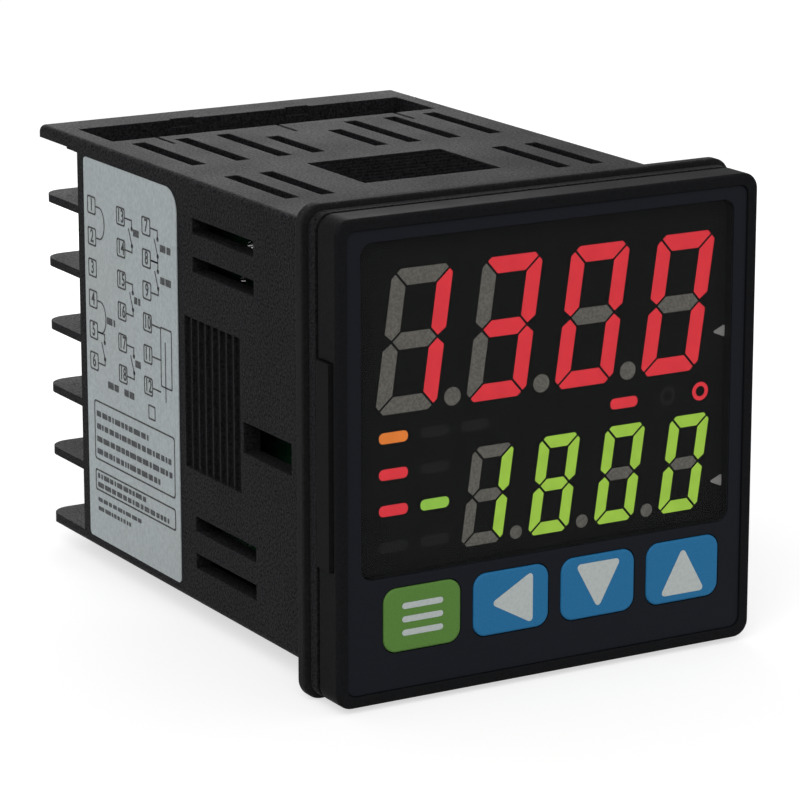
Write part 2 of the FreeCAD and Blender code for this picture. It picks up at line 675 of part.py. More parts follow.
def latch_openings():
    """Pocket for the pad of a latch, slot for its web and gap in the skirt for its arm."""
    half_pad = LATCH_LENGTH / 2 + SLIP
    half_arm = LATCH_ARM_WIDTH / 2 + SLIP
    pad = block(
        (LATCH_FLOOR, LATCH_OUTER + OVERCUT),
        (LATCH_FRONT - SLIP, FLANGE_FRONT),
        (-half_pad, half_pad),
    )
    web = block(
        (HALF_SKIRT_INSIDE - OVERCUT, LATCH_OUTER),
        (BEZEL_REAR - LATCH_WEB - SLIP, FLANGE_FRONT),
        (-half_arm, half_arm),
    )
    arm = block(
        (HALF_SKIRT_INSIDE - OVERCUT, HALF_SKIRT + OVERCUT),
        (BEZEL_REAR - OVERCUT, SKIRT_END + OVERCUT),
        (-half_arm, half_arm),
    )
    return [pad, web, arm]


def build_front_bezel():
    """Moulded front frame with the wall behind the overlay and the skirt that enters the case."""
    rim = square_plate(BEZEL_SIDE, BEZEL_CORNER, (BEZEL_FRONT, BEZEL_REAR))
    front_edges = [
        edge for edge in rim.Edges
        if abs(edge.BoundBox.YMin - BEZEL_FRONT) < 1e-4 and abs(edge.BoundBox.YMax - BEZEL_FRONT) < 1e-4
    ]
    rim = rim.makeFillet(BEZEL_EDGE, front_edges)
    neck = square_plate(BEZEL_SIDE - 2 * NECK_INSET, BEZEL_CORNER, (BEZEL_REAR, FLANGE_FRONT))
    skirt = square_plate(2 * HALF_SKIRT, SKIRT_CORNER, (FLANGE_FRONT - SLIP, SKIRT_END))
    frame = fuse_all([rim, neck, skirt])
    recess = square_plate(OVERLAY_SIDE + SLIP, OVERLAY_CORNER, (BEZEL_FRONT - OVERCUT, OVERLAY_REAR))
    front_cavity = square_plate(2 * HALF_FRONT_CAVITY, CAVITY_CORNER, (FRONT_WALL_REAR, BEZEL_REAR))
    rear_range = (BEZEL_REAR - SLIP, SKIRT_END + OVERCUT)
    rear_cavity = square_plate(2 * HALF_SKIRT_INSIDE, CAVITY_CORNER, rear_range)
    cutters = [recess, front_cavity, rear_cavity]
    cutters.append(window_plate(SLIP / 2, (OVERLAY_REAR - OVERCUT, FRONT_WALL_REAR + OVERCUT)))
    for index in range(len(KEY_NAMES)):
        cutters.append(key_opening(index, SLIP, (OVERLAY_REAR - OVERCUT, FRONT_WALL_REAR + OVERCUT)))
    for cutter in latch_openings():
        cutters.append(cutter)
        cutters.append(mirrored_x(cutter))
    return frame.cut(cutters).removeSplitter()


def build_front_overlay():
    """Printed film in the recess of the bezel, open at the window and the keys."""
    film = square_plate(OVERLAY_SIDE, OVERLAY_CORNER, (OVERLAY_FRONT, OVERLAY_REAR))
    through = (OVERLAY_FRONT - OVERCUT, OVERLAY_REAR + OVERCUT)
    cutters = [window_plate(SLIP / 2, through)]
    for index in range(len(KEY_NAMES)):
        cutters.append(key_opening(index, SLIP, through))
    return film.cut(cutters)


def build_display_window():
    """Smoked lens, flush with the overlay."""
    return window_plate(0.0, (OVERLAY_FRONT, LENS_REAR))


# ---- keys and switches -----------------------------------------------------
def build_key(index):
    """Key cap with its retaining lip and stem."""
    cap = key_opening(index, 0.0, (KEY_FRONT, KEY_LIP_FRONT + SLIP))
    front_edges = [
        edge for edge in cap.Edges
        if abs(edge.BoundBox.YMin - KEY_FRONT) < 1e-4 and abs(edge.BoundBox.YMax - KEY_FRONT) < 1e-4
    ]
    cap = cap.makeChamfer(KEY_EDGE, front_edges)
    lip = key_opening(index, KEY_LIP, (KEY_LIP_FRONT, KEY_LIP_REAR))
    stem = rod(key_x(index), KEY_ROW_Z, STEM_RADIUS, (KEY_LIP_REAR - SLIP, PLUNGER_FRONT))
    return fuse_all([cap, lip, stem])


def build_plunger(index):
    """Actuator of the tactile switch behind one key."""
    return rod(key_x(index), KEY_ROW_Z, PLUNGER_RADIUS, (PLUNGER_FRONT, PLUNGER_FRONT + PLUNGER_LENGTH))


def build_tactile_switches():
    """Four switch bodies soldered to the display board."""
    half = SWITCH_SIDE / 2
    well_end = PLUNGER_FRONT + PLUNGER_LENGTH + KEY_TRAVEL + SLIP
    bodies = []
    for index in range(len(KEY_NAMES)):
        x = key_x(index)
        body = block(
            (x - half, x + half),
            (SWITCH_FRONT, DISPLAY_BOARD_FRONT),
            (KEY_ROW_Z - half, KEY_ROW_Z + half),
        )
        well = rod(x, KEY_ROW_Z, PLUNGER_RADIUS + SLIP, (SWITCH_FRONT - OVERCUT, well_end))
        bodies.append(body.cut(well))
    return Part.makeCompound(bodies)


# ---- display module --------------------------------------------------------
def digit_outlines(height, width, stroke):
    """Seven mitred segments as outlines in the plane of a digit, lower left at the origin."""
    gap = SEGMENT_GAP / math.sqrt(2)
    cut = stroke * MITRE_SHARE
    near = (cut - gap) / 2
    far = (cut + gap) / 2
    mid = height / 2
    tip = stroke / 2
    top = [
        (far, height - near),
        (cut, height),
        (width - cut, height),
        (width - far, height - near),
        (width - stroke - gap, height - stroke),
        (stroke + gap, height - stroke),
    ]
    upper_left = [
        (near, height - far),
        (stroke, height - stroke - gap),
        (stroke, mid + gap + tip),
        (tip, mid + gap),
        (0.0, mid + gap + SHOULDER_SHARE * tip),
        (0.0, height - cut),
    ]
    middle = [
        (tip + gap, mid),
        (tip + gap + tip, mid + tip),
        (width - 2 * tip - gap, mid + tip),
        (width - tip - gap, mid),
        (width - 2 * tip - gap, mid - tip),
        (tip + gap + tip, mid - tip),
    ]
    upper_right = [(width - x, z) for x, z in upper_left]
    lower_left = [(x, height - z) for x, z in upper_left]
    lower_right = [(width - x, height - z) for x, z in upper_left]
    bottom = [(x, height - z) for x, z in top]
    return {
        "a": top,
        "b": upper_right,
        "c": lower_right,
        "d": bottom,
        "e": lower_left,
        "f": upper_left,
        "g": middle,
    }


def segment_bar(outline, left, base_z):
    """One light bar, slanted and set into the face of the display."""
    points = [(left + x + SLANT * z, DISPLAY_FACE_FRONT, base_z + z) for x, z in outline]
    return prism(points, (0, SEGMENT_DEPTH, 0))


def digit_row(reading, left, base_z, pitch, spacing, height, stroke):
    """Light bars of a row of digits, split into those that glow and those that stay dark."""
    glowing = []
    dark = []
    outlines = digit_outlines(height, pitch - spacing, stroke)
    for index, shown in enumerate(reading):
        for name, outline in outlines.items():
            bar = segment_bar(outline, left + pitch * index, base_z)
            if name in shown:
                glowing.append(bar)
            else:
                dark.append(bar)
    return glowing, dark


def point_lamps(reading, left, base_z, pitch, spacing, offset, rise, radius):
    """Round decimal points near the middle of each space between two digits."""
    depth = (DISPLAY_FACE_FRONT, DISPLAY_FACE_FRONT + SEGMENT_DEPTH)
    first = left + pitch - spacing / 2 + offset
    return [rod(first + pitch * index, base_z + rise, radius, depth) for index in range(len(reading) - 1)]


def bar_lamp(x, z):
    """A small rounded bar that marks one state of the controller."""
    depth = (DISPLAY_FACE_FRONT, DISPLAY_FACE_FRONT + SEGMENT_DEPTH)
    return rounded_plate(LAMP_LENGTH, LAMP_HEIGHT, LAMP_CORNER, depth, (x, z))


def ring_lamp(x, z):
    """A small ring that marks the unit of the reading."""
    depth = (DISPLAY_FACE_FRONT, DISPLAY_FACE_FRONT + SEGMENT_DEPTH)
    return rod(x, z, RING_RADIUS, depth).cut(rod(x, z, RING_RADIUS - RING_WIDTH, depth))


def display_lights():
    """All light bars and lamps of the display, as lists by node name."""
    pv_left = PV_LEFT_INSET - WINDOW_RIGHT
    pv_row = (PV_READING, pv_left, PV_BASE_Z, PV_PITCH, PV_SPACING)
    pv_on, pv_off = digit_row(*pv_row, PV_HEIGHT, PV_STROKE)
    pv_off += point_lamps(*pv_row, PV_DOT_OFFSET, PV_DOT_RISE, PV_DOT_RADIUS)
    sv_left = SV_LEFT_INSET - WINDOW_RIGHT
    sv_row = (SV_READING, sv_left, SV_BASE_Z, SV_PITCH, SV_SPACING)
    sv_on, sv_off = digit_row(*sv_row, SV_HEIGHT, SV_STROKE)
    sv_off += point_lamps(*sv_row, SV_DOT_OFFSET, SV_DOT_RISE, SV_DOT_RADIUS)
    left, middle, right = (inset - WINDOW_RIGHT for inset in LAMP_LEFT_INSETS)
    out_row, alarm_row, manual_row, spare_row = (WINDOW_BOTTOM + inset for inset in LAMP_BOTTOM_INSETS)
    percent_x = WINDOW_RIGHT - PERCENT_INSET
    second_x = WINDOW_RIGHT - SECOND_UNIT_INSET
    first_x = WINDOW_RIGHT - FIRST_UNIT_INSET
    return {
        "pv_segments_lit": pv_on,
        "pv_segments_dark": pv_off,
        "sv_segments_lit": sv_on,
        "sv_segments_dark": sv_off,
        "output_lamp": [bar_lamp(left, out_row)],
        "alarm_lamps": [
            bar_lamp(left, alarm_row),
            bar_lamp(left, manual_row),
            bar_lamp(percent_x, out_row),
            ring_lamp(first_x, out_row),
        ],
        "setpoint_lamp": [bar_lamp(middle, manual_row)],
        "dark_lamps": [
            bar_lamp(middle, out_row),
            bar_lamp(right, out_row),
            bar_lamp(middle, alarm_row),
            bar_lamp(left, spare_row),
            bar_lamp(middle, spare_row),
            ring_lamp(second_x, out_row),
        ],
    }


def build_display_housing(lights):
    """Black face with a well for each light bar, on the body that carries the diodes."""
    face = window_plate(-SLIP, (DISPLAY_FACE_FRONT, DISPLAY_FACE_REAR))
    half_body = HALF_SKIRT_INSIDE - DISPLAY_SIDE_GAP
    body = block(
        (-half_body, half_body),
        (DISPLAY_FACE_REAR - SLIP, DISPLAY_BOARD_FRONT),
        (WINDOW_BOTTOM + DISPLAY_BODY_INSET, HALF_SKIRT_INSIDE - FIT * 2),
    )
    wells = [light for group in lights.values() for light in group]
    return fuse_all([face, body]).cut(wells)


# ---- circuit boards and what they carry ------------------------------------
def build_display_board():
    """Board across the front that carries the display and the switches."""
    half = HALF_SKIRT_INSIDE - DISPLAY_BOARD_GAP
    board = block((-half, half), (DISPLAY_BOARD_FRONT, DISPLAY_BOARD_REAR), (-half, half))
    notch_x = ARM_INNER - LATCH_TRAVEL - FIT
    half_notch = LATCH_ARM_WIDTH / 2 + 2 * FIT
    notch = block(
        (notch_x, half + OVERCUT),
        (DISPLAY_BOARD_FRONT - OVERCUT, DISPLAY_BOARD_REAR + OVERCUT),
        (-half_notch, half_notch),
    )
    return board.cut([notch, mirrored_x(notch)])


def build_upright_board(name):
    """Board along the depth, narrower where it passes inside the skirt."""
    plane = BOARD_PLANES[name]
    x = plane - BOARD_THICKNESS / 2
    half = HALF_INSIDE - BOARD_EDGE_GAP
    half_tongue = HALF_SKIRT_INSIDE - TONGUE_GAP
    shoulder = SKIRT_END + 2 * FIT
    points = [
        (x, UPRIGHT_FRONT, -half_tongue),
        (x, shoulder, -half_tongue),
        (x, shoulder, -half),
        (x, BOARD_END, -half),
        (x, BOARD_END, half),
        (x, shoulder, half),
        (x, shoulder, half_tongue),
        (x, UPRIGHT_FRONT, half_tongue),
    ]
    return prism(points, (BOARD_THICKNESS, 0, 0))


def build_board_headers():
    """Pin headers that join the upright boards to the display board."""
    headers = []
    for name, plane in BOARD_PLANES.items():
        side = -1 if name == "power_board" else 1
        face = plane + side * BOARD_THICKNESS / 2
        headers.append(block(
            (face, face + side * HEADER_SIZE),
            (DISPLAY_BOARD_REAR, DISPLAY_BOARD_REAR + HEADER_SIZE),
            (-HEADER_LENGTH / 2, HEADER_LENGTH / 2),
        ))
    return Part.makeCompound(headers)


def on_board(name, size, y, z, side):
    """A block of x, y and z size standing on one face of an upright board."""
    thick, deep, high = size
    face = BOARD_PLANES[name] + side * BOARD_THICKNESS / 2
    return block((face, face + side * thick), (y - deep / 2, y + deep / 2), (z - high / 2, z + high / 2))


def build_microcontroller():
    """Flat processor on the control board."""
    return on_board("control_board", (CHIP_HEIGHT, CHIP_SIDE, CHIP_SIDE), CHIP_Y, CHIP_Z, 1)


def build_crystal():
    """Metal can of the clock crystal beside the processor."""
    return on_board("control_board", CRYSTAL_SIZE, CRYSTAL_Y, CHIP_Z, 1)


def capacitor_heights():
    """Axes of the lower and the upper capacitor."""
    upper = HALF_INSIDE - CAPACITOR_TOP_GAP - CAPACITOR_RADIUS
    return (upper - 2 * CAPACITOR_RADIUS - CAPACITOR_GAP, upper)


def winding_range():
    """Lower and upper end of the winding, in the room that core and capacitors leave."""
    core_top = capacitor_heights()[0] - CAPACITOR_RADIUS - CORE_CAPACITOR_GAP
    return (CORE_GAP + CORE_SIZE[2] - HALF_INSIDE, core_top - CORE_SIZE[2])


def build_transformer_core():
    """Ferrite core: two slabs above and below the winding."""
    low, high = winding_range()
    half_slab = CORE_SIZE[2] / 2
    middles = (low - half_slab, high + half_slab)
    return Part.makeCompound([on_board("power_board", CORE_SIZE, TRANSFORMER_Y, z, -1) for z in middles])


def build_transformer_winding():
    """Taped winding of the supply transformer."""
    low, high = winding_range()
    size = (WINDING_RISE, WINDING_DEPTH, high - low)
    return on_board("power_board", size, TRANSFORMER_Y, (low + high) / 2, -1)


def build_capacitors():
    """Electrolytic capacitors with their rolled groove, lying across from the power board."""
    cans = []
    face = BOARD_PLANES["power_board"] - BOARD_THICKNESS / 2
    groove_at = CAPACITOR_GROOVE_START
    waist = CAPACITOR_RADIUS - CAPACITOR_GROOVE
    profile = [
        (0.0, 0.0),
        (CAPACITOR_RADIUS, 0.0),
        (CAPACITOR_RADIUS, groove_at),
        (waist, groove_at + CAPACITOR_GROOVE),
        (CAPACITOR_RADIUS, groove_at + 2 * CAPACITOR_GROOVE),
        (CAPACITOR_RADIUS, CAPACITOR_LENGTH - CAPACITOR_GROOVE),
        (waist, CAPACITOR_LENGTH),
        (0.0, CAPACITOR_LENGTH),
    ]
    for z in capacitor_heights():
        points = [Vector(face - length, CAPACITOR_Y, z + radius) for radius, length in profile]
        outline = Part.makePolygon(points + [points[0]])
        cans.append(Part.Face(outline).revolve(Vector(0, CAPACITOR_Y, z), Vector(1, 0, 0), 360))
    return Part.makeCompound(cans)


def build_relays():
    """Output relays on the option board, as tall as the crystal opposite lets them be."""
    room = BOARD_PLANES["option_board"] - BOARD_PLANES["control_board"] - BOARD_THICKNESS
    size = (room - CRYSTAL_SIZE[0], RELAY_DEPTH, RELAY_WIDTH)
    return Part.makeCompound([on_board("option_board", size, RELAY_Y, z, -1) for z in RELAY_Z])


def build_optocouplers():
    """Optocouplers on the power board, near the terminals."""
    couplers = [on_board("power_board", COUPLER_SIZE, COUPLER_Y, z, -1) for z in COUPLER_Z]
    return Part.makeCompound(couplers)


# ---- terminals -------------------------------------------------------------
def terminal_positions():
    """Column number, x and row of every terminal."""
    return [(column, x, row) for column, x in enumerate(COLUMN_X) for row in range(ROWS)]


def build_terminal_contacts():
    """Contact plates under the screws, each with a tail that runs along its board."""
    contacts = []
    half = CLAMP_SIDE / 2
    for column, x, row in terminal_positions():
        z = row_z(row)
        z_low, z_high = tail_z(row)
        plate = block((x - half, x + half), (BULKHEAD_REAR, CONTACT_REAR), (z_low, z + half))
        tail = block(tail_x(column), (TAIL_END, BULKHEAD_REAR), (z_low, z_high))
        bore_range = (BULKHEAD_REAR - OVERCUT, CONTACT_REAR + OVERCUT)
        bore = rod(x, z, SCREW_RADIUS + SLIP, bore_range)
        contacts.append(fuse_all([plate, tail]).cut(bore))
    return Part.makeCompound(contacts)


def build_terminal_clamps():
    """Square clamping washers under the screw heads."""
    clamps = []
    half = CLAMP_SIDE / 2
    for _, x, row in terminal_positions():
        z = row_z(row)
        plate = block((x - half, x + half), (CONTACT_REAR, CLAMP_REAR), (z - half, z + half))
        bore = rod(x, z, SCREW_RADIUS + SLIP, (CONTACT_REAR - OVERCUT, CLAMP_REAR + OVERCUT))
        clamps.append(plate.cut(bore))
    return Part.makeCompound(clamps)


def build_terminal_screws():
    """M3 pan-head screws with a cross recess."""
    screws = []
    half = RECESS_WIDTH / 2
    for _, x, row in terminal_positions():
        z = row_z(row)
        head_rear = CLAMP_REAR + HEAD_HEIGHT
        shank = rod(x, z, SCREW_RADIUS, (CLAMP_REAR - SCREW_LENGTH, CLAMP_REAR + SLIP))
        head = rod(x, z, HEAD_RADIUS, (CLAMP_REAR, head_rear))
        rim = [edge for edge in head.Edges if abs(edge.BoundBox.YMin - head_rear) < 1e-4]
        head = head.makeChamfer(HEAD_CHAMFER, rim)
        y_range = (head_rear - RECESS_DEPTH, head_rear + OVERCUT)
        across = block((x - RECESS_REACH, x + RECESS_REACH), y_range, (z - half, z + half))
        upright = block((x - half, x + half), y_range, (z - RECESS_REACH, z + RECESS_REACH))
        screws.append(fuse_all([shank, head]).cut([across, upright]))
    return Part.makeCompound(screws)


# ---- latches and label -----------------------------------------------------
def build_latch():
    """Right-hand release latch: finger pad, web, and arm with a hook that holds the case."""
    pad = block(
        (LATCH_INNER, LATCH_OUTER),
        (LATCH_FRONT, BEZEL_REAR),
        (-LATCH_LENGTH / 2, LATCH_LENGTH / 2),
    )
    ramp_edges = [
        edge for edge in pad.Edges
        if abs(edge.BoundBox.XMin - LATCH_OUTER) < 1e-4 and abs(edge.BoundBox.YMax - LATCH_FRONT) < 1e-4
    ]
    pad = pad.makeChamfer(LATCH_PROUD, LATCH_RAMP, ramp_edges)
    half_arm = LATCH_ARM_WIDTH / 2
    web = block(
        (ARM_INNER, LATCH_INNER + SLIP),
        (BEZEL_REAR - LATCH_WEB, BEZEL_REAR),
        (-half_arm, half_arm),
    )
    arm = block((ARM_INNER, ARM_OUTER), (BEZEL_REAR - LATCH_WEB, LATCH_REACH), (-half_arm, half_arm))
    hook = prism(
        [
            (ARM_OUTER - SLIP, LATCH_REACH - HOOK_LENGTH, -half_arm),
            (HALF_INSIDE + HOOK_DEPTH, LATCH_REACH - HOOK_LENGTH, -half_arm),
            (ARM_OUTER, LATCH_REACH, -half_arm),
            (ARM_OUTER - SLIP, LATCH_REACH, -half_arm),
        ],
        (0, 0, LATCH_ARM_WIDTH),
    )
    return fuse_all([pad, web, arm, hook])


def build_wiring_label():
    """Label on the left wall, with one large rounded corner at the upper front."""
    height = BODY_SIDE - LABEL_TOP_INSET - LABEL_BOTTOM_INSET
    mid_y = LABEL_REAR - LABEL_LENGTH / 2
    mid_z = (LABEL_BOTTOM_INSET - LABEL_TOP_INSET) / 2
    plain = rounded_plate(LABEL_LENGTH, height, LABEL_CORNER, (0, LABEL_THICKNESS))
    big = rounded_plate(LABEL_LENGTH, height, LABEL_BIG_CORNER, (0, LABEL_THICKNESS))
    keep = block((-LABEL_LENGTH, 0), (-OVERCUT, OVERCUT), (0, height))
    outline = fuse_all([plain.cut(keep), big.common(keep)])
    outline.rotate(Vector(0, 0, 0), Vector(0, 0, 1), 90)
    outline.translate(Vector(-HALF_BODY, mid_y, mid_z))
    return outline


def main():
    """Build every piece and write one file for each node."""
    os.makedirs("parts", exist_ok=True)
    save("rear_case", build_rear_case())
    save("panel_gasket", build_panel_gasket())
    save("front_bezel", build_front_bezel())
    save("front_overlay", build_front_overlay())
    save("display_window", build_display_window())
    for index, name in enumerate(KEY_NAMES):
        save(name, build_key(index))
        save(name.replace("_key", "_plunger"), build_plunger(index))
    save("tactile_switches", build_tactile_switches())
    lights = display_lights()
    for name, group in lights.items():
        save(name, Part.makeCompound(group) if len(group) > 1 else group[0])
    save("display_housing", build_display_housing(lights))
    save("display_board", build_display_board())
    for name in BOARD_PLANES:
        save(name, build_upright_board(name))
    save("board_headers", build_board_headers())
    save("microcontroller", build_microcontroller())
    save("clock_crystal", build_crystal())
    save("transformer_core", build_transformer_core())
    save("transformer_winding", build_transformer_winding())
    save("supply_capacitors", build_capacitors())
    save("output_relays", build_relays())
    save("optocouplers", build_optocouplers())
    save("terminal_contacts", build_terminal_contacts())
    save("terminal_clamps", build_terminal_clamps())
    save("terminal_screws", build_terminal_screws())
    latch = build_latch()
    save("release_latch_right", latch)
    save("release_latch_left", mirrored_x(latch))
    save("wiring_label", build_wiring_label())


main()
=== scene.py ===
import logging
import math
from abc import ABC, abstractmethod
from dataclasses import dataclass, field
from enum import Enum
from typing import NamedTuple

import bmesh
import bpy
import numpy as np
from mathutils import Matrix, Vector


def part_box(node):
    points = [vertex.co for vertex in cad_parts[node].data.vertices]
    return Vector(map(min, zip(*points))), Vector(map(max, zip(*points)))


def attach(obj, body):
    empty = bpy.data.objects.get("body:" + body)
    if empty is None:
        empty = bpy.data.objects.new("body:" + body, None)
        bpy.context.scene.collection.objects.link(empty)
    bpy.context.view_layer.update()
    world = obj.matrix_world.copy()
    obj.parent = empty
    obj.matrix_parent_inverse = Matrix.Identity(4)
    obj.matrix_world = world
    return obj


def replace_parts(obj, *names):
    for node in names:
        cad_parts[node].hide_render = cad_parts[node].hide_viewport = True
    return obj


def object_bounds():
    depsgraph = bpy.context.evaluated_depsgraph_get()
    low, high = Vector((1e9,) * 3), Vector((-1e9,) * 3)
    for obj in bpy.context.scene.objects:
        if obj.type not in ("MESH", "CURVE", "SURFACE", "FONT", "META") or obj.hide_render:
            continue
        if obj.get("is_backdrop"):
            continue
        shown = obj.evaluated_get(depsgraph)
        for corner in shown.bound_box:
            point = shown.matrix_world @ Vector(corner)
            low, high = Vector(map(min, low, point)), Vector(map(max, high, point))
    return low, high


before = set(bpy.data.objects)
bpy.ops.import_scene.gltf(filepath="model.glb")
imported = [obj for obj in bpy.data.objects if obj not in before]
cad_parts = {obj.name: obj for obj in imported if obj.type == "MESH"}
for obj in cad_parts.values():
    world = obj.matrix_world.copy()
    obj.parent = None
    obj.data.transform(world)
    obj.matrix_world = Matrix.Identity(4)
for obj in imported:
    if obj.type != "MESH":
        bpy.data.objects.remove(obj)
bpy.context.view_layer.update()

MM = 0.001
"""One millimetre in the scene's metres."""

HUB = 0.002
"""Share of an outline that stays open in the middle of a filled face."""

WHOLE = (0.0, 1.0)
"""The whole run of a mask."""

log = logging.getLogger("controller")

Colour = tuple[float, float, float]
"""Linear red, green and blue, from 0 to 1, or past 1 for a bright light."""


def shaded(colour: Colour, share: float) -> Colour:
    """A colour made darker or lighter by a share."""
    return tuple(share * channel for channel in colour)


def linked(name: str, data: bpy.types.ID) -> bpy.types.Object:
    """Puts data into the scene as a new object.

    Args:
        name: the object's name.
        data: its mesh, lettering, lamp or camera.

    Returns:
        The new object.
    """
    item = bpy.data.objects.new(name, data)
    bpy.context.scene.collection.objects.link(item)
    return item


# ---------------------------------------------------------------------------
# Mesh surfaces
# ---------------------------------------------------------------------------
class Side(Enum):
    """The face of the controller that flat artwork lies on."""

    FRONT = "front"
    LEFT = "left"


@dataclass(frozen=True)
class Sheet:
    """A flat drawing plane on one side of the controller.

    Drawings are written in millimetres as the side is read: x to the right, y up.
    """

    side: Side
    depth: float

    @property
    def outward(self) -> Vector:
        """The direction that the artwork looks in."""
        return Vector((0, -1, 0)) if self.side is Side.FRONT else Vector((-1, 0, 0))

    def place(self, flat: np.ndarray) -> np.ndarray:
        """Turns drawing points into points of the frame.

        Args:
            flat: points as an array (..., 2) in millimetres.

        Returns:
            The same points as an array (..., 3) in metres.
        """
        points = np.empty(flat.shape[:-1] + (3,))
        if self.side is Side.FRONT:
            points[..., 0] = flat[..., 0]
            points[..., 1] = self.depth
        else:
            points[..., 0] = self.depth
            points[..., 1] = -flat[..., 0]
        points[..., 2] = flat[..., 1]
        return points * MM


def mesh_object(
    name: str, vertices: np.ndarray, quads: np.ndarray, smooth: bool = True
) -> bpy.types.Object:
    """Makes an object from arrays of vertices and four-sided faces.

    Args:
        name: the object's name.
        vertices: array (n, 3) in metres.
        quads: array (m, 4) of vertex numbers, turned so that faces point outwards.
        smooth: whether the faces are shaded as one smooth surface.

    Returns:
        The new object, linked to the scene.
    """
    mesh = bpy.data.meshes.new(name)
    mesh.vertices.add(len(vertices))
    mesh.vertices.foreach_set("co", np.ascontiguousarray(vertices, dtype=np.float32).ravel())
    mesh.loops.add(quads.size)
    mesh.loops.foreach_set("vertex_index", np.ascontiguousarray(quads, dtype=np.int32).ravel())
    mesh.polygons.add(len(quads))
    mesh.polygons.foreach_set("loop_start", np.arange(0, quads.size, 4, dtype=np.int32))
    mesh.update(calc_edges=True)
    mesh.validate()
    mesh.polygons.foreach_set("use_smooth", np.full(len(mesh.polygons), smooth))
    return linked(name, mesh)


def grid_quads(rows: int, columns: int, wrap: bool) -> np.ndarray:
    """Numbers the faces of a grid of points.

    Args:
        rows: how many rows of points.
        columns: how many points in each row.
        wrap: whether the last column joins the first.

    Returns:
        Array (m, 4) of point numbers.
    """
    across = columns if wrap else columns - 1
    i, j = np.meshgrid(np.arange(rows - 1), np.arange(across), indexing="ij")
    following = (j + 1) % columns
    lower, upper = i * columns, (i + 1) * columns
    corners = [lower + j, lower + following, upper + following, upper + j]
    return np.stack(corners, axis=-1).reshape(-1, 4)


def repeated(quads: np.ndarray, copies: int, points: int) -> np.ndarray:
    """The same faces for several copies of a grid, each with its own points."""
    return (quads[None] + (np.arange(copies) * points)[:, None, None]).reshape(-1, 4)


def rounded_box_outline(width: float, height: float, corner: float, steps: int) -> np.ndarray:
    """Outline of a rectangle with round corners, as points round its middle.

    Each corner is a quarter circle: the corner's middle plus the corner radius
    times (cos t, sin t), with t running over a quarter turn.

    Args:
        width: full width.
        height: full height.
        corner: corner radius.
        steps: points on each corner.

    Returns:
        Array (4 * steps, 2), anticlockwise.
    """
    corner = min(corner, width / 2, height / 2)
    quarter = np.linspace(0, math.pi / 2, steps)
    turn = np.arange(4)[:, None] * math.pi / 2 + quarter[None]
    signs = np.array([(1, 1), (-1, 1), (-1, -1), (1, -1)])
    middles = signs * (width / 2 - corner, height / 2 - corner)
    arcs = middles[:, None] + corner * np.stack([np.cos(turn), np.sin(turn)], axis=-1)
    return arcs.reshape(-1, 2)


def rounded_triangle_outline(corners: np.ndarray, radius: float, steps: int) -> np.ndarray:
    """Outline of a triangle with round corners.

    Every corner moves in along its bisector by radius / sin(half angle), and an
    arc of that radius swings there from one side's normal to the next.

    Args:
        corners: array (3, 2), anticlockwise.
        radius: corner radius.
        steps: points on each corner.

    Returns:
        Array (3 * steps, 2), anticlockwise.
    """
    before = np.roll(corners, 1, axis=0) - corners
    after = np.roll(corners, -1, axis=0) - corners
    before /= np.linalg.norm(before, axis=1, keepdims=True)
    after /= np.linalg.norm(after, axis=1, keepdims=True)
    bisector = before + after
    half = np.arccos(np.clip((before * after).sum(axis=1), -1, 1)) / 2
    inward = bisector / np.linalg.norm(bisector, axis=1, keepdims=True)
    middles = corners + inward * (radius / np.sin(half))[:, None]
    start = np.arctan2(before[:, 0], -before[:, 1])
    swing = math.pi - 2 * half
    turn = start[:, None] + swing[:, None] * np.linspace(0, 1, steps)[None]
    arcs = middles[:, None] + radius * np.stack([np.cos(turn), np.sin(turn)], axis=-1)
    return arcs.reshape(-1, 2)


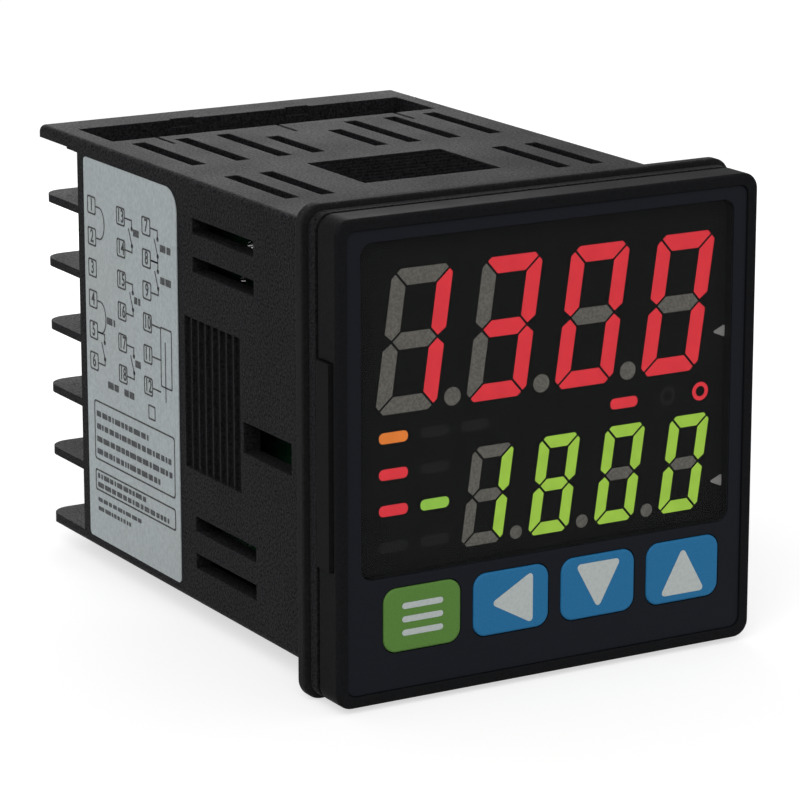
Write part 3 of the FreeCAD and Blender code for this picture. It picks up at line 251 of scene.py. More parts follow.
@dataclass
class Drawing:
    """Flat artwork collected as grids of points and made into one mesh.

    Marks are filled patches, where a point is the middle plus r times the outline
    with r from nearly 0 to 1, bands between two outlines, or open strokes.
    """

    PATCH_RINGS = (HUB, 0.6, 1.0)

    sheet: Sheet
    points: list[np.ndarray] = field(default_factory=list)
    faces: list[np.ndarray] = field(default_factory=list)
    count: int = 0

    def _grid(self, flat: np.ndarray, wrap: bool) -> None:
        """Adds one grid of drawing points.

        Args:
            flat: array (rows, columns, 2).
            wrap: whether the last column joins the first.
        """
        rows, columns = flat.shape[:2]
        self.points.append(self.sheet.place(flat).reshape(-1, 3))
        self.faces.append(grid_quads(rows, columns, wrap) + self.count)
        self.count += rows * columns

    def patch(self, outline: np.ndarray, middle: tuple[float, float] = (0.0, 0.0)) -> None:
        """Adds a filled mark.

        Args:
            outline: array (n, 2), anticlockwise, round its own middle.
            middle: where that middle lies.
        """
        shares = np.array(self.PATCH_RINGS)[:, None, None]
        rings = shares * outline[None] + (1 - shares) * outline.mean(axis=0)
        self._grid(np.asarray(middle) + rings, wrap=True)

    def band(
        self, outline: np.ndarray, width: float, middle: tuple[float, float] = (0.0, 0.0)
    ) -> None:
        """Adds a closed line of a given width just inside an outline.

        Args:
            outline: array (n, 2), anticlockwise, round its own middle.
            width: width of the line.
            middle: where that middle lies.
        """
        reach = np.abs(outline).max(axis=0)
        inner = outline * (1 - width / reach)
        self._grid(np.asarray(middle) + np.stack([inner, outline]), wrap=True)

    def stroke(self, path: np.ndarray, width: float) -> None:
        """Adds an open line along a path.

        The line's edges are the path plus and minus half the width times the
        path's normal, which at a bend is the mean of the two runs' normals.

        Args:
            path: array (n, 2).
            width: width of the line.
        """
        runs = np.diff(path, axis=0)
        normals = np.stack([-runs[:, 1], runs[:, 0]], axis=-1)
        normals /= np.linalg.norm(normals, axis=1, keepdims=True)
        joint = np.vstack([normals[:1], (normals[1:] + normals[:-1]) / 2, normals[-1:]])
        joint /= (joint * joint).sum(axis=1, keepdims=True)
        reach = joint * width / 2
        self._grid(np.stack([path + reach, path - reach]), wrap=False)

    def build(self, name: str) -> bpy.types.Object:
        """Makes the mesh of everything drawn so far.

        Args:
            name: the object's name.

        Returns:
            The new object.
        """
        quads = np.concatenate(self.faces)
        if self.sheet.side is Side.FRONT:
            quads = quads[:, ::-1]
        piece = mesh_object(name, np.concatenate(self.points), quads, smooth=False)
        face_outwards(piece, self.sheet.outward)
        return piece


def face_outwards(piece: bpy.types.Object, direction: Vector) -> None:
    """Turns the faces of flat artwork that look the wrong way.

    Args:
        piece: the artwork.
        direction: where its faces should look.
    """
    mesh = piece.data
    for polygon in mesh.polygons:
        if polygon.normal.dot(direction) < 0:
            polygon.flip()
    mesh.update()


def domes(
    centres: np.ndarray, radius: float, height: float, outward: Vector, name: str
) -> bpy.types.Object:
    """Small round mounds on a flat board, such as solder joints.

    A point lies at the centre plus r times the radius along the ring and the
    height times (1 - r squared) outwards, with r from 0 to 1, so each mound is a
    paraboloid that meets the board at its rim.

    Args:
        centres: array (n, 3) in metres, on the board.
        radius: radius of each mound in metres.
        height: height of each mound in metres.
        outward: direction away from the board, along X.
        name: the object's name.

    Returns:
        The new object.
    """
    rings, spokes, tip = 4, 10, 0.02
    r = np.linspace(tip, 1.0, rings)[:, None]
    t = np.linspace(0, 2 * math.pi, spokes, endpoint=False)[None]
    rise = outward.x * height * (1 - r * r) + 0 * t
    local = np.stack([rise, radius * r * np.cos(t), radius * r * np.sin(t)], axis=-1)
    vertices = (centres[:, None] + local.reshape(1, -1, 3)).reshape(-1, 3)
    quads = repeated(grid_quads(rings, spokes, wrap=True), len(centres), rings * spokes)
    if outward.x > 0:
        quads = quads[:, ::-1]
    return mesh_object(name, vertices, quads)


@dataclass(frozen=True)
class Figures:
    """How printed numbers look: sizes in millimetres, shares of the plain letter."""

    height: float
    size_share: float = 0.72
    width_share: float = 0.8
    weight: float = 0.035
    steps: int = 3

    def flat_mesh(self, text: str) -> bpy.types.Mesh:
        """Sets one number as a flat mesh.

        Args:
            text: the number.

        Returns:
            Its mesh, centred on the origin and still at its plain width.
        """
        curve = bpy.data.curves.new(text, type="FONT")
        curve.body = text
        curve.size = self.height / self.size_share
        curve.align_x = "CENTER"
        curve.align_y = "CENTER"
        curve.resolution_u = self.steps
        curve.offset = self.weight
        lettering = linked(text, curve)
        bpy.context.view_layer.update()
        flat = bpy.data.meshes.new_from_object(lettering)
        bpy.data.objects.remove(lettering)
        bpy.data.curves.remove(curve)
        return flat


def number_marks(
    name: str, texts: list[tuple[str, float, float]], figures: Figures, sheet: Sheet
) -> bpy.types.Object:
    """Plain numbers as flat marks, each centred on its place.

    Args:
        name: the object's name.
        texts: the number and the x and y of its middle, in millimetres of the sheet.
        figures: how the numbers look.
        sheet: the plane that carries them.

    Returns:
        One object with all the numbers.
    """
    vertices: list[np.ndarray] = []
    faces: list[tuple[int, ...]] = []
    start = 0
    for text, x, y in texts:
        flat_mesh = figures.flat_mesh(text)
        flat = np.empty(len(flat_mesh.vertices) * 3)
        flat_mesh.vertices.foreach_get("co", flat)
        flat = flat.reshape(-1, 3)[:, :2] * (figures.width_share, 1.0) + (x, y)
        vertices.append(sheet.place(flat))
        for polygon in flat_mesh.polygons:
            faces.append(tuple(index + start for index in polygon.vertices))
        start += len(flat)
        bpy.data.meshes.remove(flat_mesh)
    mesh = bpy.data.meshes.new(name)
    mesh.from_pydata(np.concatenate(vertices).tolist(), [], faces)
    mesh.update()
    piece = linked(name, mesh)
    face_outwards(piece, sheet.outward)
    return piece


# ---------------------------------------------------------------------------
# Shader building blocks
# ---------------------------------------------------------------------------
def fill(node: bpy.types.Node, **values: object) -> None:
    """Sets a node's inputs by their labels, with _ for a space."""
    for label, value in values.items():
        node.inputs[label.replace("_", " ")].default_value = value


@dataclass
class Wiring:
    """A node tree with short ways to add nodes and join them."""

    tree: bpy.types.NodeTree

    def add(self, kind: str, **settings: object) -> bpy.types.Node:
        """Adds a node.

        Args:
            kind: the node's type.
            settings: its properties and their values.

        Returns:
            The new node.
        """
        node = self.tree.nodes.new(kind)
        for key, value in settings.items():
            setattr(node, key, value)
        return node

    def join(self, source: bpy.types.NodeSocket, target: bpy.types.NodeSocket) -> None:
        """Joins an output to an input."""
        self.tree.links.new(source, target)

    def mix(self, share: bpy.types.NodeSocket, low: Colour, high: Colour) -> bpy.types.NodeSocket:
        """A colour that goes from low to high with a share.

        Args:
            share: the mask from 0 to 1.
            low: colour at 0.
            high: colour at 1.

        Returns:
            The mixed colour's output.
        """
        node = self.add("ShaderNodeMix", data_type="RGBA")
        fill(node, A=(*low, 1.0), B=(*high, 1.0))
        self.join(share, node.inputs["Factor"])
        return node.outputs["Result"]

    def overlay(
        self, share: bpy.types.NodeSocket, under: bpy.types.NodeSocket, over: Colour
    ) -> bpy.types.NodeSocket:
        """One colour laid over another by a mask.

        Args:
            share: the mask from 0 to 1.
            under: the colour below.
            over: the colour on top.

        Returns:
            The mixed colour's output.
        """
        node = self.add("ShaderNodeMix", data_type="RGBA")
        fill(node, B=(*over, 1.0))
        self.join(share, node.inputs["Factor"])
        self.join(under, node.inputs["A"])
        return node.outputs["Result"]

    def remap(
        self,
        value: bpy.types.NodeSocket,
        source: tuple[float, float],
        target: tuple[float, float] = WHOLE,
    ) -> bpy.types.NodeSocket:
        """A value stretched from one range to another, held at the ends.

        Args:
            value: what is stretched.
            source: its lowest and highest value.
            target: what those become, 0 and 1 if nothing else is said.

        Returns:
            The stretched value's output.
        """
        node = self.add("ShaderNodeMapRange")
        fill(node, From_Min=source[0], From_Max=source[1], To_Min=target[0], To_Max=target[1])
        self.join(value, node.inputs["Value"])
        return node.outputs["Result"]

    def math(
        self, operation: str, first: bpy.types.NodeSocket, second: bpy.types.NodeSocket | float
    ) -> bpy.types.NodeSocket:
        """One sum of two values.

        Args:
            operation: the Math node's operation.
            first: the first value.
            second: the second value, a socket or a number.

        Returns:
            The result's output.
        """
        node = self.add("ShaderNodeMath", operation=operation)
        self.join(first, node.inputs[0])
        if isinstance(second, (int, float)):
            node.inputs[1].default_value = second
        else:
            self.join(second, node.inputs[1])
        return node.outputs[0]


def new_group(
    name: str, inputs: dict[str, float], outputs: dict[str, str]
) -> tuple[Wiring, bpy.types.Node, bpy.types.Node]:
    """Starts a shader group with named sockets.

    Args:
        name: the group's name.
        inputs: float inputs and their default values.
        outputs: outputs and their socket kinds.

    Returns:
        The group's wiring, its input node and its output node.
    """
    tree = bpy.data.node_groups.new(name, "ShaderNodeTree")
    for label, value in inputs.items():
        socket = tree.interface.new_socket(label, in_out="INPUT", socket_type="NodeSocketFloat")
        socket.default_value = value
    for label, kind in outputs.items():
        tree.interface.new_socket(label, in_out="OUTPUT", socket_type=kind)
    wiring = Wiring(tree)
    return wiring, wiring.add("NodeGroupInput"), wiring.add("NodeGroupOutput")


def build_moulding_grain() -> bpy.types.NodeTree:
    """Spark-eroded mould texture: rounded pits of one size broken up by finer noise.

    Returns:
        The group, which gives the pits' height, a broad mottle and a fine glint.
    """
    wiring, given, result = new_group(
        "moulding_grain",
        {"Grains per metre": 3500.0},
        {"Height": "NodeSocketFloat", "Mottle": "NodeSocketFloat", "Glint": "NodeSocketFloat"},
    )
    place = wiring.add("ShaderNodeTexCoord").outputs["Object"]
    pits = wiring.add("ShaderNodeTexVoronoi", feature="SMOOTH_F1")
    fill(pits, Smoothness=0.6)
    fine = wiring.add("ShaderNodeTexNoise")
    fill(fine, Detail=4.0, Roughness=0.65)
    broad = wiring.add("ShaderNodeTexNoise")
    fill(broad, Scale=130.0, Detail=5.0)
    for texture in (pits, fine, broad):
        wiring.join(place, texture.inputs["Vector"])
    wiring.join(given.outputs["Grains per metre"], pits.inputs["Scale"])
    finer = wiring.math("MULTIPLY", given.outputs["Grains per metre"], 0.7)
    wiring.join(finer, fine.inputs["Scale"])
    height = wiring.math("MULTIPLY", pits.outputs["Distance"], fine.outputs["Fac"])
    wiring.join(height, result.inputs["Height"])
    broad_share = wiring.math("MULTIPLY", broad.outputs["Fac"], 0.6)
    fine_share = wiring.math("MULTIPLY", fine.outputs["Fac"], 0.4)
    wiring.join(wiring.math("ADD", broad_share, fine_share), result.inputs["Mottle"])
    wiring.join(wiring.remap(fine.outputs["Fac"], (0.36, 0.64)), result.inputs["Glint"])
    return wiring.tree


def build_soft_edges() -> bpy.types.NodeTree:
    """Small edge radius: the normal turned near edges, and a mask of where it turns.

    Returns:
        The group, which gives the turned normal and the mask.
    """
    wiring, given, result = new_group(
        "soft_edges", {"Radius": 0.00015}, {"Normal": "NodeSocketVector", "Edge": "NodeSocketFloat"}
    )
    bevel = wiring.add("ShaderNodeBevel", samples=6)
    wiring.join(given.outputs["Radius"], bevel.inputs["Radius"])
    plain = wiring.add("ShaderNodeNewGeometry").outputs["Normal"]
    likeness = wiring.add("ShaderNodeVectorMath", operation="DOT_PRODUCT")
    wiring.join(bevel.outputs["Normal"], likeness.inputs[0])
    wiring.join(plain, likeness.inputs[1])
    wiring.join(bevel.outputs["Normal"], result.inputs["Normal"])
    wiring.join(wiring.remap(likeness.outputs["Value"], (0.995, 0.75)), result.inputs["Edge"])
    return wiring.tree


def build_settled_dust() -> bpy.types.NodeTree:
    """Fine dust and lint that lies on faces that look up.

    Returns:
        The group, which gives the mask of the dust.
    """
    wiring, given, result = new_group("settled_dust", {"Amount": 0.3}, {"Mask": "NodeSocketFloat"})
    place = wiring.add("ShaderNodeTexCoord").outputs["Object"]
    facing = wiring.add("ShaderNodeSeparateXYZ")
    wiring.join(wiring.add("ShaderNodeNewGeometry").outputs["Normal"], facing.inputs["Vector"])
    upward = wiring.remap(facing.outputs["Z"], (0.2, 1.0), (0.15, 1.0))
    specks = wiring.add("ShaderNodeTexNoise")
    fill(specks, Scale=2600.0, Detail=2.0)
    drift = wiring.add("ShaderNodeTexNoise")
    fill(drift, Scale=90.0, Detail=6.0)
    wiring.join(place, specks.inputs["Vector"])
    wiring.join(place, drift.inputs["Vector"])
    spotted = wiring.remap(specks.outputs["Fac"], (0.52, 0.72))
    drifting = wiring.remap(drift.outputs["Fac"], (0.4, 0.7), (0.2, 1.0))
    mask = wiring.math("MULTIPLY", wiring.math("MULTIPLY", spotted, drifting), upward)
    wiring.join(wiring.math("MULTIPLY", mask, given.outputs["Amount"]), result.inputs["Mask"])
    return wiring.tree


class Effects:
    """The shader groups that several materials share, each built once."""

    grain: bpy.types.NodeTree
    edges: bpy.types.NodeTree
    dust: bpy.types.NodeTree

    @classmethod
    def prepare(cls) -> None:
        """Builds the groups."""
        cls.grain = build_moulding_grain()
        cls.edges = build_soft_edges()
        cls.dust = build_settled_dust()


@dataclass
class Surface:
    """A new material's wiring together with its Principled shader."""

    wiring: Wiring
    shader: bpy.types.Node
    material: bpy.types.Material

    @classmethod
    def start(cls, name: str) -> "Surface":
        """Begins a material with a plain Principled shader.

        Args:
            name: the material's name.

        Returns:
            Its surface.
        """
        material = bpy.data.materials.new(name)
        material.use_nodes = True
        shader = material.node_tree.nodes["Principled BSDF"]
        return cls(Wiring(material.node_tree), shader, material)

    def group(self, tree: bpy.types.NodeTree, **values: float) -> bpy.types.Node:
        """Places a shared effect.

        Args:
            tree: the effect's group.
            values: its inputs here, with _ for a space in a label.

        Returns:
            The group's node.
        """
        node = self.wiring.add("ShaderNodeGroup", node_tree=tree)
        fill(node, **values)
        return node

    def relief(
        self, height: bpy.types.NodeSocket, depth: float, normal: bpy.types.NodeSocket | None = None
    ) -> None:
        """Adds fine relief to the surface.

        Args:
            height: the relief's height from 0 to 1.
            depth: its full depth in metres.
            normal: the normal that it stands on, if it isn't the mesh's own.
        """
        bump = self.wiring.add("ShaderNodeBump")
        fill(bump, Strength=1.0, Distance=depth)
        self.wiring.join(height, bump.inputs["Height"])
        if normal is not None:
            self.wiring.join(normal, bump.inputs["Normal"])
        self.wiring.join(bump.outputs["Normal"], self.shader.inputs["Normal"])

    def noise(
        self,
        scale: float,
        detail: float = 4.0,
        stretch: tuple[float, float, float] = (1.0, 1.0, 1.0),
    ) -> bpy.types.NodeSocket:
        """Plain noise in object coordinates.

        Args:
            scale: features per metre.
            detail: octaves.
            stretch: how much finer it runs along each axis.

        Returns:
            The noise's output, from 0 to 1.
        """
        place = self.wiring.add("ShaderNodeTexCoord").outputs["Object"]
        mapping = self.wiring.add("ShaderNodeMapping")
        fill(mapping, Scale=stretch)
        texture = self.wiring.add("ShaderNodeTexNoise")
        fill(texture, Scale=scale, Detail=detail)
        self.wiring.join(place, mapping.inputs["Vector"])
        self.wiring.join(mapping.outputs["Vector"], texture.inputs["Vector"])
        return texture.outputs["Fac"]


# ---------------------------------------------------------------------------
# Finishes
# ---------------------------------------------------------------------------
@dataclass(frozen=True)
class Coat(ABC):
    """A finish that is made into a material under its own name."""

    name: str

    @abstractmethod
    def lay(self, surface: Surface) -> None:
        """Lays the finish on a new surface."""

    def make(self) -> bpy.types.Material:
        """Builds the material.

        Returns:
            The new material.
        """
        surface = Surface.start(self.name)
        self.lay(surface)
        return surface.material


@dataclass(frozen=True)
class MouldedPlastic(Coat):
    """Moulded thermoplastic with a spark-eroded texture, soft edges, a little dust, and a lighter colour
    along every edge that is a painted edge highlight together with rubbed wear.

    Grains are counted per metre, and depths and radii are in metres. The glint is how far
    the colour varies from grain to grain, and the sparkle how much further the shine does.
    """

    colour: Colour
    roughness: float = 0.6
    gloss: float = 0.15
    grains: float = 3500.0
    grain_depth: float = 0.00002
    edge_radius: float = 0.0002
    dust: float = 0.0
    glint: float = 0.15
    sparkle: float = 1.7
    # How much lighter the edges are, and how strongly: a painted edge highlight together with rubbed
    # wear.
    edge_highlight_and_wear: float = 1.4
    edge_highlight_and_rub_share: float = 0.4
    roughness_swing: float = 0.06
    dust_colour: Colour = (0.25, 0.24, 0.22)

    def lay(self, surface: Surface) -> None:
        """Lays the finish on a new surface.

        Args:
            surface: the surface to finish.
        """
        wiring, shader = surface.wiring, surface.shader
        grain = surface.group(Effects.grain, Grains_per_metre=self.grains)
        edges = surface.group(Effects.edges, Radius=self.edge_radius)
        glint = grain.outputs["Glint"]
        swing = self.sparkle * self.glint
        shine = (self.gloss * (1 - swing), self.gloss * (1 + swing))
        wiring.join(wiring.remap(glint, WHOLE, shine), shader.inputs["Specular IOR Level"])
        darker, lighter = shaded(self.colour, 1 - self.glint), shaded(self.colour, 1 + self.glint)
        colour = wiring.mix(glint, darker, lighter)
        # Lighter colour along every edge: a painted edge highlight together with rubbed wear.
        edge_highlight_and_rub_mask = wiring.math("MULTIPLY", edges.outputs["Edge"], self.edge_highlight_and_rub_share)
        colour = wiring.overlay(edge_highlight_and_rub_mask, colour, shaded(self.colour, self.edge_highlight_and_wear))
        if self.dust > 0:
            dust = surface.group(Effects.dust, Amount=self.dust)
            colour = wiring.overlay(dust.outputs["Mask"], colour, self.dust_colour)
        wiring.join(colour, shader.inputs["Base Color"])
        rough = (self.roughness - self.roughness_swing, self.roughness + self.roughness_swing)
        mottle = wiring.remap(grain.outputs["Mottle"], (0.3, 0.7), rough)
        wiring.join(mottle, shader.inputs["Roughness"])
        surface.relief(grain.outputs["Height"], self.grain_depth, edges.outputs["Normal"])


@dataclass(frozen=True)
class SmokedLens(Coat):
    """Clear acrylic with a smoke tint, seen through to the display."""

    name: str = "smoked_lens"
    tint: Colour = (0.026, 0.027, 0.027)
    cover: float = 0.22
    gloss: float = 0.08
    roughness: tuple[float, float] = (0.22, 0.32)

    def lay(self, surface: Surface) -> None:
        """Lays the finish on a new surface.

        Args:
            surface: the surface to finish.
        """
        wiring, shader = surface.wiring, surface.shader
        fill(shader, Alpha=self.cover, Specular_IOR_Level=self.gloss)
        smear = surface.noise(60.0, detail=3.0)
        wiring.join(wiring.mix(smear, shaded(self.tint, 0.9), self.tint), shader.inputs["Base Color"])
        wiring.join(wiring.remap(smear, (0.35, 0.65), self.roughness), shader.inputs["Roughness"])


@dataclass(frozen=True)
class LitBar(Coat):
    """A diffusing light bar with its diode on."""

    glow: Colour
    strength: float = 1.0
    body: Colour = (0.05, 0.02, 0.02)
    relief: float = 0.000008

    def lay(self, surface: Surface) -> None:
        """Lays the finish on a new surface.

        Args:
            surface: the surface to finish.
        """
        wiring, shader = surface.wiring, surface.shader
        fill(shader, Roughness=0.5, Specular_IOR_Level=0.1, Emission_Strength=self.strength)
        cloud = surface.noise(700.0, detail=2.0)
        share = wiring.remap(cloud, (0.3, 0.7))
        glow = wiring.mix(share, shaded(self.glow, 0.9), self.glow)
        wiring.join(glow, shader.inputs["Emission Color"])
        body = wiring.mix(share, shaded(self.body, 0.7), self.body)
        wiring.join(body, shader.inputs["Base Color"])
        surface.relief(cloud, self.relief)


@dataclass(frozen=True)
class DarkBar(Coat):
    """The same light bar with its diode off: pale, translucent and slightly grainy."""

    name: str = "dark_bar"
    colour: Colour = (0.46, 0.44, 0.385)
    relief: float = 0.00001

    def lay(self, surface: Surface) -> None:
        """Lays the finish on a new surface.

        Args:
            surface: the surface to finish.
        """
        wiring, shader = surface.wiring, surface.shader
        fill(shader, Roughness=0.55, Specular_IOR_Level=0.15)
        cloud = surface.noise(4200.0, detail=3.0)
        share = wiring.remap(cloud, (0.38, 0.62))
        colour = wiring.mix(share, shaded(self.colour, 0.7), self.colour)
        wiring.join(colour, shader.inputs["Base Color"])
        surface.relief(cloud, self.relief)


@dataclass(frozen=True)
class PrintedFilm(Coat):
    """Satin polyester film, printed on the back: even colour under a fine matt lacquer."""

    colour: Colour
    roughness: float = 0.42
    gloss: float = 0.12
    speckle: float = 0.08
    roughness_swing: float = 0.04
    relief: float = 0.000006
    edge_radius: float = 0.00012

    def lay(self, surface: Surface) -> None:
        """Lays the finish on a new surface.

        Args:
            surface: the surface to finish.
        """
        wiring, shader = surface.wiring, surface.shader
        fill(shader, Specular_IOR_Level=self.gloss)
        speckle = surface.noise(5200.0, detail=2.0)
        share = wiring.remap(speckle, (0.3, 0.7))
        darker, lighter = shaded(self.colour, 1 - self.speckle), shaded(self.colour, 1 + self.speckle)
        wiring.join(wiring.mix(share, darker, lighter), shader.inputs["Base Color"])
        rough = (self.roughness - self.roughness_swing, self.roughness + self.roughness_swing)
        lacquer = wiring.remap(surface.noise(160.0, detail=4.0), (0.35, 0.65), rough)
        wiring.join(lacquer, shader.inputs["Roughness"])
        edges = surface.group(Effects.edges, Radius=self.edge_radius)
        surface.relief(speckle, self.relief, edges.outputs["Normal"])


@dataclass(frozen=True)
class LabelPaper(Coat):
    """Matt coated label stock, faintly fibrous and slightly handled."""

    name: str = "label_paper"
    colour: Colour = (0.51, 0.565, 0.575)
    stain: Colour = (0.42, 0.41, 0.38)
    grain: tuple[float, float, float] = (1.0, 1.0, 0.7)
    relief: float = 0.000008

    def lay(self, surface: Surface) -> None:
        """Lays the finish on a new surface.

        Args:
            surface: the surface to finish.
        """
        wiring, shader = surface.wiring, surface.shader
        fill(shader, Roughness=0.6, Specular_IOR_Level=0.2)
        fibre = surface.noise(3200.0, detail=3.0, stretch=self.grain)
        handled = surface.noise(55.0, detail=4.0)
        clean = wiring.mix(wiring.remap(fibre, (0.35, 0.65)), shaded(self.colour, 0.84), self.colour)
        touched = wiring.remap(handled, (0.5, 0.8), (0.0, 0.25))
        wiring.join(wiring.overlay(touched, clean, self.stain), shader.inputs["Base Color"])
        surface.relief(fibre, self.relief)


@dataclass(frozen=True)
class Ink(Coat):
    """Printed ink with slightly uneven cover."""

    colour: Colour
    thin: Colour
    roughness: float = 0.5

    def lay(self, surface: Surface) -> None:
        """Lays the finish on a new surface.

        Args:
            surface: the surface to finish.
        """
        wiring, shader = surface.wiring, surface.shader
        fill(shader, Roughness=self.roughness, Specular_IOR_Level=0.15)
        cover = wiring.remap(surface.noise(2600.0, detail=3.0), (0.42, 0.75))
        wiring.join(wiring.mix(cover, self.colour, self.thin), shader.inputs["Base Color"])


@dataclass(frozen=True)
class CircuitBoard(Coat):
    """Glass-fibre board under green solder mask, with tracks showing through; both greens are darkened as
    painted shade for the inside of the case.
    """

    name: str = "circuit_board"
    # Both greens are darker than the board's own, as painted shade for the dark inside of the case.
    mask: Colour = (0.006, 0.040, 0.018)
    track: Colour = (0.016, 0.080, 0.034)
    roughness: tuple[float, float] = (0.25, 0.4)
    track_height: float = 0.00003

    def lay(self, surface: Surface) -> None:
        """Lays the finish on a new surface.

        Args:
            surface: the surface to finish.
        """
        wiring, shader = surface.wiring, surface.shader
        fill(shader, Specular_IOR_Level=0.4, Coat_Weight=0.2)
        place = wiring.add("ShaderNodeTexCoord").outputs["Object"]
        cells = wiring.add("ShaderNodeTexVoronoi", feature="F1", distance="CHEBYCHEV")
        fill(cells, Scale=420.0)
        wiring.join(place, cells.inputs["Vector"])
        lines = wiring.math("PINGPONG", cells.outputs["Distance"], 0.12)
        share = wiring.remap(lines, (0.05, 0.07))
        wiring.join(wiring.mix(share, self.mask, self.track), shader.inputs["Base Color"])
        rough = wiring.remap(surface.noise(400.0), (0.3, 0.7), self.roughness)
        wiring.join(rough, shader.inputs["Roughness"])
        surface.relief(share, self.track_height)


@dataclass(frozen=True)
class PlatedMetal(Coat):
    """Metal with a plated or drawn finish: fine lines, stains and softened edges."""

    colour: Colour
    roughness: float = 0.32
    lines: tuple[float, float, float] = (1.0, 1.0, 1.0)
    relief: float = 0.000012
    edge_radius: float = 0.0001

    def lay(self, surface: Surface) -> None:
        """Lays the finish on a new surface.

        Args:
            surface: the surface to finish.
        """
        wiring, shader = surface.wiring, surface.shader
        fill(shader, Metallic=1.0)
        drawn = surface.noise(1800.0, detail=5.0, stretch=self.lines)
        cloud = surface.noise(350.0, detail=4.0)
        colour = wiring.mix(wiring.remap(cloud, (0.35, 0.65)), shaded(self.colour, 0.75), self.colour)
        wiring.join(colour, shader.inputs["Base Color"])
        rough = (self.roughness - 0.08, self.roughness + 0.12)
        wiring.join(wiring.remap(drawn, (0.3, 0.7), rough), shader.inputs["Roughness"])
        edges = surface.group(Effects.edges, Radius=self.edge_radius)
        surface.relief(drawn, self.relief, edges.outputs["Normal"])


class Finish(Enum):
    """Every finish on the controller, by the place it is used."""

    CASE = MouldedPlastic(
        "case_plastic", (0.0125, 0.0126, 0.0140), roughness=0.6, gloss=0.032, grains=5600.0,
        grain_depth=0.00005, edge_radius=0.0002, dust=0.10, glint=0.5
    )
    BEZEL = MouldedPlastic(
        "bezel_plastic", (0.0108, 0.0112, 0.0122), roughness=0.5, gloss=0.012, grains=7000.0,
        grain_depth=0.000008, edge_radius=0.0002, dust=0.05, glint=0.15
    )
    LATCH = MouldedPlastic(
        "latch_plastic", (0.0062, 0.0062, 0.0068), roughness=0.5, gloss=0.02, grains=6000.0,
        grain_depth=0.00002, edge_radius=0.00015, dust=0.03
    )
    GASKET = MouldedPlastic(
        "gasket_rubber", (0.0135, 0.0135, 0.0145), roughness=0.75, gloss=0.07, grains=5200.0,
        grain_depth=0.00003, edge_radius=0.0002, dust=0.2
    )
    OVERLAY = PrintedFilm("overlay_film", (0.0098, 0.0112, 0.0158), gloss=0.06)
    DISPLAY_BLACK = MouldedPlastic(
        "display_black", (0.011, 0.0115, 0.011), roughness=0.85, gloss=0.03, grains=900.0,
        grain_depth=0.000002, edge_radius=0.00005
    )
    GREEN_KEY = PrintedFilm("green_key", (0.120, 0.265, 0.055), roughness=0.45, edge_radius=0.0003)
    BLUE_KEY = PrintedFilm("blue_key", (0.024, 0.185, 0.40), roughness=0.45, edge_radius=0.0003)
    KEY_INK = Ink("key_ink", (0.60, 0.655, 0.64), (0.53, 0.58, 0.57))
    LEGEND_INK = Ink("legend_ink", (0.80, 0.79, 0.76), (0.70, 0.69, 0.66))
    LENS = SmokedLens()
    RED_LIGHT = LitBar("red_light", (1.04, 0.046, 0.066))
    GREEN_LIGHT = LitBar("green_light", (0.49, 0.83, 0.09), body=(0.03, 0.05, 0.01))
    ORANGE_LIGHT = LitBar("orange_light", (1.10, 0.30, 0.05), body=(0.05, 0.03, 0.01))
    GREEN_LAMP = LitBar("green_lamp", (0.42, 0.80, 0.10), body=(0.03, 0.05, 0.01))
    RED_LAMP = LitBar("red_lamp", (1.05, 0.05, 0.07))
    DARK_BAR = DarkBar()
    DARK_LAMP = DarkBar("dark_lamp", (0.02, 0.02, 0.02))
    LABEL = LabelPaper()
    LABEL_INK = Ink("label_ink", (0.03, 0.03, 0.032), (0.12, 0.12, 0.12), 0.6)
    LABEL_GREY = Ink("label_grey_ink", (0.055, 0.057, 0.060), (0.14, 0.145, 0.15), 0.6)
    BOARD = CircuitBoard()
    CHIP = MouldedPlastic(
        "chip_resin", (0.012, 0.012, 0.013), roughness=0.5, gloss=0.3, grains=8000.0,
        grain_depth=0.000006, edge_radius=0.0001
    )
    FERRITE = MouldedPlastic(
        "ferrite", (0.025, 0.025, 0.027), roughness=0.6, gloss=0.3, grains=6000.0,
        grain_depth=0.00002, edge_radius=0.0003
    )
    TAPE = PrintedFilm("winding_tape", (0.55, 0.36, 0.03), roughness=0.35, gloss=0.4)
    SLEEVE = PrintedFilm("capacitor_sleeve", (0.012, 0.016, 0.04), roughness=0.28, gloss=0.5)
    RELAY = MouldedPlastic(
        "relay_cover", (0.02, 0.075, 0.22), roughness=0.4, gloss=0.4, grains=6000.0,
        grain_depth=0.000008, edge_radius=0.0003
    )
    SWITCH = MouldedPlastic(
        "switch_body", (0.02, 0.02, 0.02), roughness=0.5, gloss=0.3, grains=6000.0,
        grain_depth=0.000006, edge_radius=0.0001
    )
    ZINC = PlatedMetal("zinc_plating", (0.62, 0.62, 0.60), 0.34)
    BRASS = PlatedMetal("tinned_brass", (0.66, 0.56, 0.36), 0.32, (1.0, 8.0, 1.0))
    STEEL_CAN = PlatedMetal("steel_can", (0.64, 0.64, 0.64), 0.25)
    SOLDER = PlatedMetal("solder", (0.75, 0.75, 0.76), 0.2)


